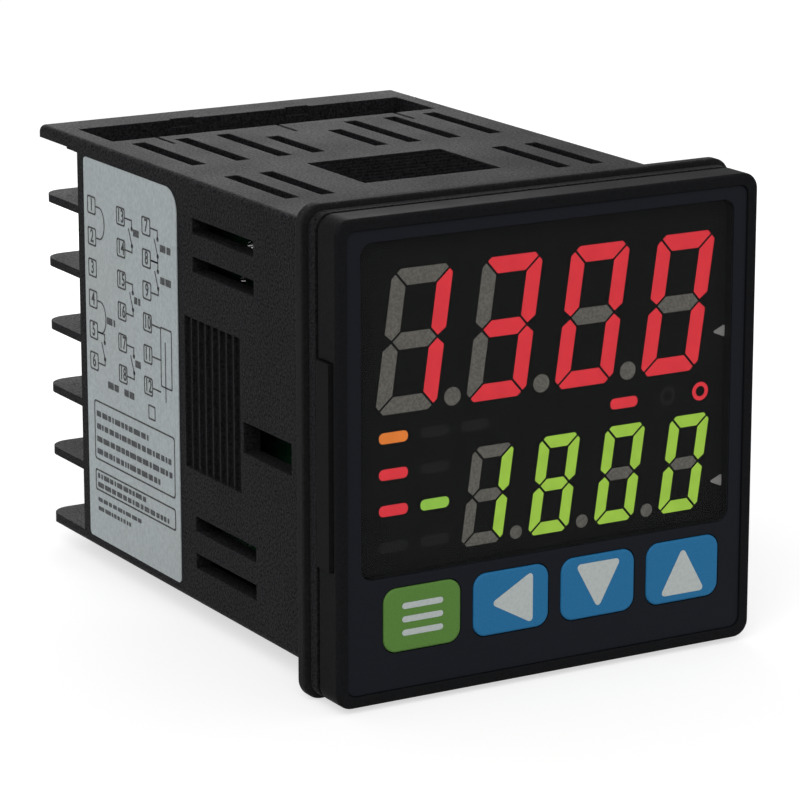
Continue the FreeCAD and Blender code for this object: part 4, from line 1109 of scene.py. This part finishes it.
class Wardrobe:
    """Materials made so far, so that each finish is built once."""

    made: dict[Finish, bpy.types.Material] = {}

    @classmethod
    def get(cls, finish: Finish) -> bpy.types.Material:
        """The material of a finish.

        Args:
            finish: the finish.

        Returns:
            Its material, built at the first call.
        """
        if finish not in cls.made:
            cls.made[finish] = finish.value.make()
        return cls.made[finish]

    @classmethod
    def dress(cls, node: str, finish: Finish) -> None:
        """Gives a carried-over node its finish.

        Args:
            node: the node's name.
            finish: its finish.
        """
        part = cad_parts[node]
        material = cls.get(finish)
        if not part.material_slots:
            part.data.materials.append(material)
        for holder in part.material_slots:
            holder.material = material
        log.info("%s wears %s", node, material.name)

    @classmethod
    def add(cls, piece: bpy.types.Object, finish: Finish, body: str, slot: str) -> None:
        """Finishes a new piece and lets it ride on a body.

        Args:
            piece: the new object.
            finish: its finish.
            body: the body that it moves with.
            slot: the record's material slot that it belongs to; not used.
        """
        piece.data.materials.append(cls.get(finish))
        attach(piece, body)
        log.info("%s wears %s and rides on %s", piece.name, finish.name.lower(), body)


ROOT_BODY = "controller"
"""The body that holds everything that doesn't move."""


# ---------------------------------------------------------------------------
# Sub-assemblies
# ---------------------------------------------------------------------------
@dataclass
class CaseAssembly:
    """Rear case, gasket, bezel and latches, with the lips beside the opening in the hood."""

    lip_x: tuple[float, float] = (19.75, 20.6)
    lip_y: tuple[float, float] = (52.0, 58.0)
    lip_z: tuple[float, float] = (20.0, 20.92)

    def lips(self) -> bpy.types.Object:
        """The two low lips under the hood's top plate that close the corners of its opening.

        Returns:
            Both lips as one object.
        """
        around = ((0, 0), (1, 0), (1, 1), (0, 1))
        shell = np.vstack([grid_quads(2, len(around), wrap=True), [(0, 1, 2, 3), (7, 6, 5, 4)]])
        vertices: list[np.ndarray] = []
        faces: list[np.ndarray] = []
        for side in (-1, 1):
            x = sorted(side * edge for edge in self.lip_x)
            lip = [(x[i], y, self.lip_z[k]) for y in self.lip_y for i, k in around]
            faces.append(shell + len(lip) * len(vertices))
            vertices.append(np.array(lip) * MM)
        piece = mesh_object("hood_lips", np.concatenate(vertices), np.concatenate(faces), smooth=False)
        bm = bmesh.new()
        bm.from_mesh(piece.data)
        bmesh.ops.recalc_face_normals(bm, faces=bm.faces)
        bm.to_mesh(piece.data)
        bm.free()
        return piece

    def dress(self) -> None:
        """Gives the moulded pieces their finishes."""
        Wardrobe.dress("rear_case", Finish.CASE)
        Wardrobe.dress("panel_gasket", Finish.GASKET)
        Wardrobe.dress("front_bezel", Finish.BEZEL)
        Wardrobe.dress("release_latch_left", Finish.LATCH)
        Wardrobe.dress("release_latch_right", Finish.LATCH)
        Wardrobe.dress("front_overlay", Finish.OVERLAY)
        Wardrobe.add(self.lips(), Finish.CASE, ROOT_BODY, "case")


@dataclass
class DisplayAssembly:
    """Lens, housing, light bars, lamps and the two row marks beside the digits."""

    row_mark_x: float = 20.35
    row_mark_z: tuple[float, float] = (8.0, -7.45)
    row_mark_width: float = 1.5
    row_mark_height: float = 1.3
    row_mark_corner: float = 0.12
    mark_lift: float = 0.005
    lens_corner: float = 1.2
    lens_steps: int = 8
    lens_edge: float = 0.06
    lens_clearance: float = 0.08

    def lens(self) -> bpy.types.Object:
        """The smoked window as one closed plate, held just clear of the display behind it.

        Returns:
            The plate, which takes the place of the CAD window.
        """
        low, high = (np.array(corner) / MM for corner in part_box("display_window"))
        middle = (low + high) / 2
        width, height = high[0] - low[0], high[2] - low[2]
        edge, steps = self.lens_edge, self.lens_steps
        inner = rounded_box_outline(width - 2 * edge, height - 2 * edge, self.lens_corner - edge, steps)
        outer = rounded_box_outline(width, height, self.lens_corner, steps)
        front, rear = low[1], high[1] - self.lens_clearance
        rings = [(share * inner, front) for share in (HUB, 0.5, 1.0)]
        rings.append((outer, front + edge))
        rings += [(share * outer, rear) for share in (1.0, 0.5, HUB)]
        points = np.stack([
            np.stack([middle[0] + ring[:, 0], np.full(len(ring), depth), middle[2] + ring[:, 1]], axis=-1)
            for ring, depth in rings
        ])
        quads = grid_quads(len(rings), len(outer), wrap=True)
        piece = mesh_object("lens", points.reshape(-1, 3) * MM, quads, smooth=False)
        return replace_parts(piece, "display_window")

    def row_marks(self) -> bpy.types.Object:
        """Two small printed triangles that point to the rows of digits, behind the lens.

        Returns:
            Both triangles as one object.
        """
        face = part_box("display_housing")[0][1] / MM
        drawing = Drawing(Sheet(Side.FRONT, face - self.mark_lift))
        half_w, half_h = self.row_mark_width / 2, self.row_mark_height / 2
        corners = np.array([(-half_w, 0.0), (half_w, -half_h), (half_w, half_h)])
        outline = rounded_triangle_outline(corners, self.row_mark_corner, 4)
        for z in self.row_mark_z:
            drawing.patch(outline, (self.row_mark_x, z))
        return drawing.build("row_marks")

    def dress(self) -> None:
        """Gives the display its finishes."""
        Wardrobe.add(self.lens(), Finish.LENS, ROOT_BODY, "window")
        Wardrobe.dress("display_housing", Finish.DISPLAY_BLACK)
        Wardrobe.dress("pv_segments_lit", Finish.RED_LIGHT)
        Wardrobe.dress("pv_segments_dark", Finish.DARK_BAR)
        Wardrobe.dress("sv_segments_lit", Finish.GREEN_LIGHT)
        Wardrobe.dress("sv_segments_dark", Finish.DARK_BAR)
        Wardrobe.dress("output_lamp", Finish.ORANGE_LIGHT)
        Wardrobe.dress("alarm_lamps", Finish.RED_LAMP)
        Wardrobe.dress("setpoint_lamp", Finish.GREEN_LAMP)
        Wardrobe.dress("dark_lamps", Finish.DARK_LAMP)
        Wardrobe.add(self.row_marks(), Finish.LEGEND_INK, ROOT_BODY, "dark_segment")


@dataclass
class Keypad:
    """Four keys with printed symbols: a list mark and three arrows."""

    lift: float = 0.015
    arrow_width: float = 5.4
    arrow_height: float = 4.9
    arrow_corner: float = 0.35
    bar_width: float = 4.6
    bar_height: float = 0.62
    bar_pitch: float = 1.35
    turns: dict[str, float] = field(
        default_factory=lambda: {"shift_key": 90.0, "down_key": 180.0, "up_key": 0.0}
    )

    def _sheet(self, node: str) -> tuple[Sheet, tuple[float, float]]:
        """The drawing plane on a key's face.

        Args:
            node: the key.

        Returns:
            The plane, and the middle of the key's face on it.
        """
        low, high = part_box(node)
        middle = ((low[0] + high[0]) / 2 / MM, (low[2] + high[2]) / 2 / MM)
        return Sheet(Side.FRONT, low[1] / MM - self.lift), middle

    def arrow(self, node: str, turn: float) -> bpy.types.Object:
        """A rounded triangle on one key.

        Args:
            node: the key.
            turn: degrees anticlockwise from pointing up.

        Returns:
            The printed arrow.
        """
        sheet, middle = self._sheet(node)
        half_w, half_h = self.arrow_width / 2, self.arrow_height / 2
        corners = np.array([(-half_w, -half_h), (half_w, -half_h), (0.0, half_h)])
        angle = math.radians(turn)
        spin = np.array([(math.cos(angle), math.sin(angle)), (-math.sin(angle), math.cos(angle))])
        drawing = Drawing(sheet)
        drawing.patch(rounded_triangle_outline(corners @ spin, self.arrow_corner, 5), middle)
        return drawing.build(f"{node}_arrow")

    def list_mark(self) -> bpy.types.Object:
        """Three level bars on the first key.

        Returns:
            The printed bars.
        """
        sheet, middle = self._sheet("mode_key")
        drawing = Drawing(sheet)
        outline = rounded_box_outline(self.bar_width, self.bar_height, self.bar_height / 2, 5)
        for step in (-1, 0, 1):
            drawing.patch(outline, (middle[0], middle[1] + step * self.bar_pitch))
        return drawing.build("mode_key_bars")

    def dress(self) -> None:
        """Finishes the keys, their switches and their symbols."""
        Wardrobe.dress("mode_key", Finish.GREEN_KEY)
        Wardrobe.add(self.list_mark(), Finish.KEY_INK, "mode_key_body", "green_key")
        for node, turn in self.turns.items():
            Wardrobe.dress(node, Finish.BLUE_KEY)
            Wardrobe.add(self.arrow(node, turn), Finish.KEY_INK, f"{node}_body", "blue_key")
        for node in ("mode_plunger", "shift_plunger", "down_plunger", "up_plunger", "tactile_switches"):
            Wardrobe.dress(node, Finish.SWITCH)


class Note(NamedTuple):
    """A short row of small print beside the boxes, placed from a column and a row of them."""

    column: int
    right: float
    row: int
    below: float
    length: float


class PrintRow(NamedTuple):
    """A row of small print across the label: its height, right end and height of its dashes."""

    y: float
    end: float
    tall: float


class Table(NamedTuple):
    """A ruled table on the label: its height, corner radius and the height of its middle."""

    height: float
    corner: float
    y: float


@dataclass
class WiringLabel:
    """Label on the left wall: numbered terminal boxes, contact symbols and ruled tables.

    Places are in millimetres as the label is read, so x is minus the depth.
    """

    lift: float = 0.02
    columns: tuple[float, float, float] = (-48.6, -41.7, -35.8)
    first_numbers: tuple[int, int, int] = (1, 13, 7)
    rows: int = 6
    top_row: float = 15.65
    row_pitch: float = 3.39
    box_side: float = 2.0
    box_corner: float = 0.25
    line: float = 0.18
    figures: Figures = Figures(height=1.42)

    contact_reach: float = 1.6
    contact_drop: float = 0.9
    contact_rise: float = 0.7
    arm_lean: float = 0.75
    arm_drop: float = 0.95
    dot: float = 0.5
    coil_lead: float = 0.8
    coil_bulge: float = 0.7

    module_size: tuple[float, float] = (2.6, 6.4)
    module_corner: float = 0.2
    module_shift: tuple[float, float] = (3.2, 0.4)
    module_lead: float = 1.9
    divider_shift: float = 4.0
    divider_ends: tuple[float, float] = (-2.2, 4.2)
    check_side: float = 1.6
    check_corner: float = 0.1
    check_shift: float = 0.7
    check_y: float = -4.0
    table_x: float = -39.4
    table_width: float = 18.9
    tables: tuple[Table, ...] = (Table(6.6, 0.35, -8.8), Table(2.4, 0.3, -14.35))

    print_start: float = -48.3
    print_rows: tuple[PrintRow, ...] = (
        PrintRow(-6.95, -36.0, 0.62),
        PrintRow(-8.35, -30.8, 0.62),
        PrintRow(-9.75, -30.6, 0.62),
        PrintRow(-11.1, -33.4, 0.62),
        PrintRow(-13.85, -36.5, 0.55),
        PrintRow(-14.85, -31.5, 0.55),
        PrintRow(-16.5, -38.0, 0.45),
        PrintRow(-17.5, -40.5, 0.45),
    )
    notes: tuple[Note, ...] = (
        Note(column=2, right=3.1, row=0, below=1.7, length=2.4),
        Note(column=2, right=3.1, row=1, below=1.7, length=2.4),
        Note(column=1, right=2.9, row=0, below=1.2, length=1.6),
        Note(column=1, right=2.9, row=2, below=1.6, length=1.5),
        Note(column=1, right=2.9, row=4, below=1.6, length=1.5),
        Note(column=0, right=3.2, row=3, below=1.7, length=2.0),
        Note(column=0, right=3.2, row=5, below=1.9, length=2.6),
        Note(column=1, right=0.2, row=5, below=1.9, length=2.8),
    )
    note_height: float = 0.75
    dash_lengths: tuple[float, float] = (0.35, 1.5)
    dash_gaps: tuple[float, float] = (0.16, 0.3)
    dash_corner: float = 0.08
    dash_margin: float = 0.3
    seed: int = 7

    def _sheet(self) -> Sheet:
        """The drawing plane just outside the label."""
        return Sheet(Side.LEFT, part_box("wiring_label")[0][0] / MM - self.lift)

    def _row(self, row: int) -> float:
        """Height of one row of boxes."""
        return self.top_row - self.row_pitch * row

    def numbers(self) -> bpy.types.Object:
        """The terminal numbers, column by column.

        Returns:
            The printed numbers.
        """
        texts = []
        for x, first in zip(self.columns, self.first_numbers):
            texts += [(str(first + row), x, self._row(row)) for row in range(self.rows)]
        return number_marks("label_numbers", texts, self.figures, self._sheet())

    def _contact(self, drawing: Drawing, x: float, row: int) -> None:
        """A contact symbol between a box and the next: two leads, two dots and a raised arm.

        Args:
            drawing: what it is added to.
            x: the right edge of the boxes.
            row: the upper box.
        """
        reach = x + self.contact_reach
        upper, lower = self._row(row), self._row(row + 1)
        fixed, pivot = upper - self.contact_drop, lower + self.contact_rise
        drawing.stroke(np.array([(x, upper), (reach, upper), (reach, fixed)]), self.line)
        drawing.stroke(np.array([(x, lower), (reach, lower), (reach, pivot)]), self.line)
        tip = (reach - self.arm_lean, upper - self.arm_drop)
        drawing.stroke(np.array([(reach, pivot), tip]), self.line)
        dot = rounded_box_outline(self.dot, self.dot, self.dot / 2, 4)
        drawing.patch(dot, (reach, fixed))
        drawing.patch(dot, (reach, pivot))

    def _coil(self, drawing: Drawing, x: float, row: int) -> None:
        """A sensor symbol between a box and the next: two leads that meet in a round tip.

        The tip is half an ellipse between the leads.

        Args:
            drawing: what it is added to.
            x: the right edge of the boxes.
            row: the upper box.
        """
        upper, lower = self._row(row), self._row(row + 1)
        radius = (upper - lower) / 2
        turn = np.linspace(math.pi / 2, -math.pi / 2, 11)
        tip_x = x + self.coil_lead + radius * self.coil_bulge * np.cos(turn)
        tip_y = (upper + lower) / 2 + radius * np.sin(turn)
        tip = np.stack([tip_x, tip_y], axis=-1)
        drawing.stroke(np.vstack([[(x, upper)], tip, [(x, lower)]]), self.line)

    def _module(self, drawing: Drawing, x: float) -> None:
        """The module symbol with three leads beside the last column.

        Args:
            drawing: what it is added to.
            x: the right edge of the boxes.
        """
        lead_rows = range(3, self.rows)
        right, up = self.module_shift
        outline = rounded_box_outline(*self.module_size, self.module_corner, 3)
        drawing.band(outline, self.line, (x + right, self._row(lead_rows[1]) + up))
        for row in lead_rows:
            y = self._row(row)
            drawing.stroke(np.array([(x, y), (x + self.module_lead, y)]), self.line)

    def diagram(self) -> bpy.types.Object:
        """Boxes round the numbers, the symbols that join them, and the ruled tables.

        Returns:
            The printed lines.
        """
        drawing = Drawing(self._sheet())
        box = rounded_box_outline(self.box_side, self.box_side, self.box_corner, 3)
        for x in self.columns:
            for row in range(self.rows):
                drawing.band(box, self.line, (x, self._row(row)))
        first, middle, last = (x + self.box_side / 2 for x in self.columns)
        for row in (0, 3):
            self._coil(drawing, first, row)
        for x, contact_rows in ((first, (4,)), (middle, (0, 2, 4)), (last, (0, 1))):
            for row in contact_rows:
                self._contact(drawing, x, row)
        self._module(drawing, last)
        divider = self.columns[-1] + self.divider_shift
        drawing.stroke(np.array([(divider, y) for y in self.divider_ends]), self.line)
        check = rounded_box_outline(self.check_side, self.check_side, self.check_corner, 3)
        drawing.band(check, self.line, (self.columns[-1] + self.check_shift, self.check_y))
        for table in self.tables:
            outline = rounded_box_outline(self.table_width, table.height, table.corner, 4)
            drawing.band(outline, self.line, (self.table_x, table.y))
        return drawing.build("label_diagram")

    def _text_line(
        self,
        drawing: Drawing,
        chance: np.random.Generator,
        start: float,
        end: float,
        y: float,
        tall: float,
    ) -> None:
        """A row of short dashes in place of small print.

        Args:
            drawing: what it is added to.
            chance: seeded source of dash lengths.
            start: left end of the row.
            end: right end of the row.
            y: height of the row.
            tall: height of the dashes.
        """
        x = start
        while x < end - self.dash_margin:
            length = min(float(chance.uniform(*self.dash_lengths)), end - x)
            dash = rounded_box_outline(length, tall, self.dash_corner, 3)
            drawing.patch(dash, (x + length / 2, y))
            x += length + float(chance.uniform(*self.dash_gaps))

    def small_print(self) -> bpy.types.Object:
        """Rows of dashes in the tables and beside the boxes.

        Returns:
            The printed dashes.
        """
        drawing = Drawing(self._sheet())
        chance = np.random.default_rng(self.seed)
        for row in self.print_rows:
            self._text_line(drawing, chance, self.print_start, row.end, row.y, row.tall)
        for note in self.notes:
            x, y = self.columns[note.column] + note.right, self._row(note.row) - note.below
            self._text_line(drawing, chance, x, x + note.length, y, self.note_height)
        return drawing.build("label_small_print")

    def dress(self) -> None:
        """Finishes the label and its print."""
        Wardrobe.dress("wiring_label", Finish.LABEL)
        Wardrobe.add(self.numbers(), Finish.LABEL_INK, ROOT_BODY, "label")
        Wardrobe.add(self.diagram(), Finish.LABEL_INK, ROOT_BODY, "label")
        Wardrobe.add(self.small_print(), Finish.LABEL_GREY, ROOT_BODY, "label")


@dataclass
class Electronics:
    """Boards, the parts they carry and the terminals, with solder joints at the vents."""

    joint_radius: float = 0.55
    joint_height: float = 0.45
    joint_pitch: float = 2.54
    joint_rows: tuple[float, ...] = (-17.4, -13.6, -2.0, 6.0, 18.2)
    joint_span: tuple[float, float] = (6.0, 24.0)
    vent_joints: tuple[tuple[float, float], ...] = ((22.9, 15.35), (24.5, 11.4))
    finishes: dict[str, Finish] = field(
        default_factory=lambda: {
            "display_board": Finish.BOARD,
            "control_board": Finish.BOARD,
            "option_board": Finish.BOARD,
            "power_board": Finish.BOARD,
            "board_headers": Finish.SWITCH,
            "microcontroller": Finish.CHIP,
            "clock_crystal": Finish.STEEL_CAN,
            "transformer_core": Finish.FERRITE,
            "transformer_winding": Finish.TAPE,
            "supply_capacitors": Finish.SLEEVE,
            "output_relays": Finish.RELAY,
            "optocouplers": Finish.CHIP,
            "terminal_contacts": Finish.BRASS,
            "terminal_clamps": Finish.ZINC,
            "terminal_screws": Finish.ZINC,
        }
    )

    def solder_joints(self) -> bpy.types.Object:
        """Solder joints on the outer face of the control board, in rows and at the vents.

        Returns:
            The joints as one object.
        """
        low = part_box("control_board")[0]
        start, end = (low[1] + place * MM for place in self.joint_span)
        depths = np.arange(start, end, self.joint_pitch * MM)
        y, z = np.meshgrid(depths, np.array(self.joint_rows) * MM)
        at_vents = np.array(self.vent_joints) * MM
        y, z = np.append(y.ravel(), at_vents[:, 0]), np.append(z.ravel(), at_vents[:, 1])
        centres = np.stack([np.full(y.size, low[0]), y, z], axis=-1)
        radius, height = self.joint_radius * MM, self.joint_height * MM
        return domes(centres, radius, height, Vector((-1, 0, 0)), "solder_joints")

    def dress(self) -> None:
        """Finishes the boards, their parts and the joints."""
        for node, finish in self.finishes.items():
            Wardrobe.dress(node, finish)
        Wardrobe.add(self.solder_joints(), Finish.SOLDER, ROOT_BODY, "can")


# ---------------------------------------------------------------------------
# Studio
# ---------------------------------------------------------------------------
@dataclass(frozen=True)
class Sun:
    """A broad far lamp: the way to it, its strength on a surface that faces it, and its spread.

    The spread is its apparent size in degrees.
    """

    name: str
    toward: tuple[float, float, float]
    strength: float
    spread: float

    def build(self) -> None:
        """Puts the lamp into the scene."""
        lamp = bpy.data.lights.new(self.name, type="SUN")
        lamp.energy = self.strength
        lamp.angle = math.radians(self.spread)
        holder = linked(self.name, lamp)
        holder.rotation_euler = Vector(self.toward).to_track_quat("Z", "Y").to_euler()


@dataclass(frozen=True)
class SoftBox:
    """A square soft box aimed at the controller, with its middle and side in millimetres."""

    name: str
    place: tuple[float, float, float]
    side: float
    power: float

    def build(self) -> None:
        """Puts the lamp into the scene, out of the camera's sight."""
        light = bpy.data.lights.new(self.name, "AREA")
        light.size = self.side * MM
        light.energy = self.power
        lamp = linked(self.name, light)
        lamp.location = Vector(self.place) * MM
        low, high = (Vector(corner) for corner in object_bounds())
        lamp.rotation_euler = (lamp.location - (low + high) / 2).to_track_quat("Z", "Y").to_euler()
        lamp.visible_camera = False


@dataclass
class Studio:
    """Pale floor, soft light and the camera, which looks from an azimuth and an elevation.

    Angles are in degrees, the floor's size is in metres and other lengths are in millimetres.
    """

    azimuth: float = 30.32
    elevation: float = 14.42
    distance: float = 373.17
    aim_right: float = -14.745
    aim_up: float = 3.705
    lens: float = 172.6
    sensor: float = 36.0
    floor_size: float = 6.0
    floor_gap: float = 0.05
    floor_colour: Colour = (0.6, 0.6, 0.6)
    floor_mottle: float = 0.99
    floor_lift: float = 0.62
    world_strength: float = 0.5
    white: tuple[float, float, float, float] = (1.0, 1.0, 1.0, 1.0)
    key_light: Sun = Sun("key_light", (-0.50, -0.55, 0.67), strength=1.0, spread=40.0)
    rear_light: SoftBox = SoftBox("rear_light", (75.0, 223.0, 58.0), side=110.0, power=0.125)

    def floor(self) -> None:
        """A wide pale floor under the controller, which keeps its shadow.

        The floor glows a little for what sees it straight, so that it stays white there.
        """
        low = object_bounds()[0]
        span = np.linspace(-self.floor_size / 2, self.floor_size / 2, 3)
        x, y = np.meshgrid(span, span)
        level = np.full(x.size, low[2] - self.floor_gap * MM)
        vertices = np.stack([x.ravel(), y.ravel(), level], axis=-1)
        plane = mesh_object("floor", vertices, grid_quads(3, 3, wrap=False))
        surface = Surface.start("pale_floor")
        wiring, shader = surface.wiring, surface.shader
        fill(shader, Roughness=0.9, Specular_IOR_Level=0.0, Emission_Color=self.white)
        nearly = shaded(self.floor_colour, self.floor_mottle)
        colour = wiring.mix(surface.noise(3.0, detail=2.0), nearly, self.floor_colour)
        wiring.join(colour, shader.inputs["Base Color"])
        lift = wiring.remap(self._seen(wiring), WHOLE, (0.0, self.floor_lift))
        wiring.join(lift, shader.inputs["Emission Strength"])
        plane.data.materials.append(surface.material)
        plane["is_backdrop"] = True

    def _seen(self, wiring: Wiring) -> bpy.types.NodeSocket:
        """Tells what the camera sees straight, in a mirror or through glass from other light.

        Args:
            wiring: the node tree that asks.

        Returns:
            1 for what is seen so, 0 for the rest.
        """
        rays = wiring.add("ShaderNodeLightPath")
        direct = wiring.math("MAXIMUM", rays.outputs["Is Camera Ray"], rays.outputs["Is Glossy Ray"])
        return wiring.math("MAXIMUM", direct, rays.outputs["Is Transmission Ray"])

    def world(self) -> None:
        """Even soft light from all round, white where the camera sees it."""
        world = bpy.data.worlds.new("studio")
        world.use_nodes = True
        wiring = Wiring(world.node_tree)
        background = world.node_tree.nodes["Background"]
        fill(background, Color=self.white)
        strength = wiring.remap(self._seen(wiring), WHOLE, (self.world_strength, 1.0))
        wiring.join(strength, background.inputs["Strength"])
        bpy.context.scene.world = world

    def camera(self) -> None:
        """The camera, aimed beside the middle of the bezel's front face."""
        low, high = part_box("front_bezel")
        middle = Vector(((low[0] + high[0]) / 2, low[1], (low[2] + high[2]) / 2))
        azimuth, elevation = math.radians(self.azimuth), math.radians(self.elevation)
        right = Vector((math.cos(azimuth), -math.sin(azimuth), 0.0))
        level = math.cos(elevation)
        ahead = Vector((math.sin(azimuth) * level, math.cos(azimuth) * level, -math.sin(elevation)))
        up = right.cross(ahead)
        place = middle + (right * self.aim_right + up * self.aim_up - ahead * self.distance) * MM
        data = bpy.data.cameras.new("camera")
        data.lens = self.lens
        data.sensor_width = self.sensor
        holder = linked("camera", data)
        turned = Matrix((right, up, -ahead)).transposed().to_4x4()
        holder.matrix_world = Matrix.Translation(place) @ turned
        bpy.context.scene.camera = holder

    def build(self) -> None:
        """Sets the whole stage."""
        self.camera()
        self.floor()
        self.world()
        self.key_light.build()
        self.rear_light.build()
        bpy.context.scene.view_settings.view_transform = "Standard"


def main() -> None:
    """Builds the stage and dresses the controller."""
    logging.basicConfig(level=logging.INFO, format="%(name)s: %(message)s")
    Effects.prepare()
    Studio().build()
    for assembly in (CaseAssembly(), DisplayAssembly(), Keypad(), WiringLabel(), Electronics()):
        assembly.dress()


if __name__ == "__main__":
    main()
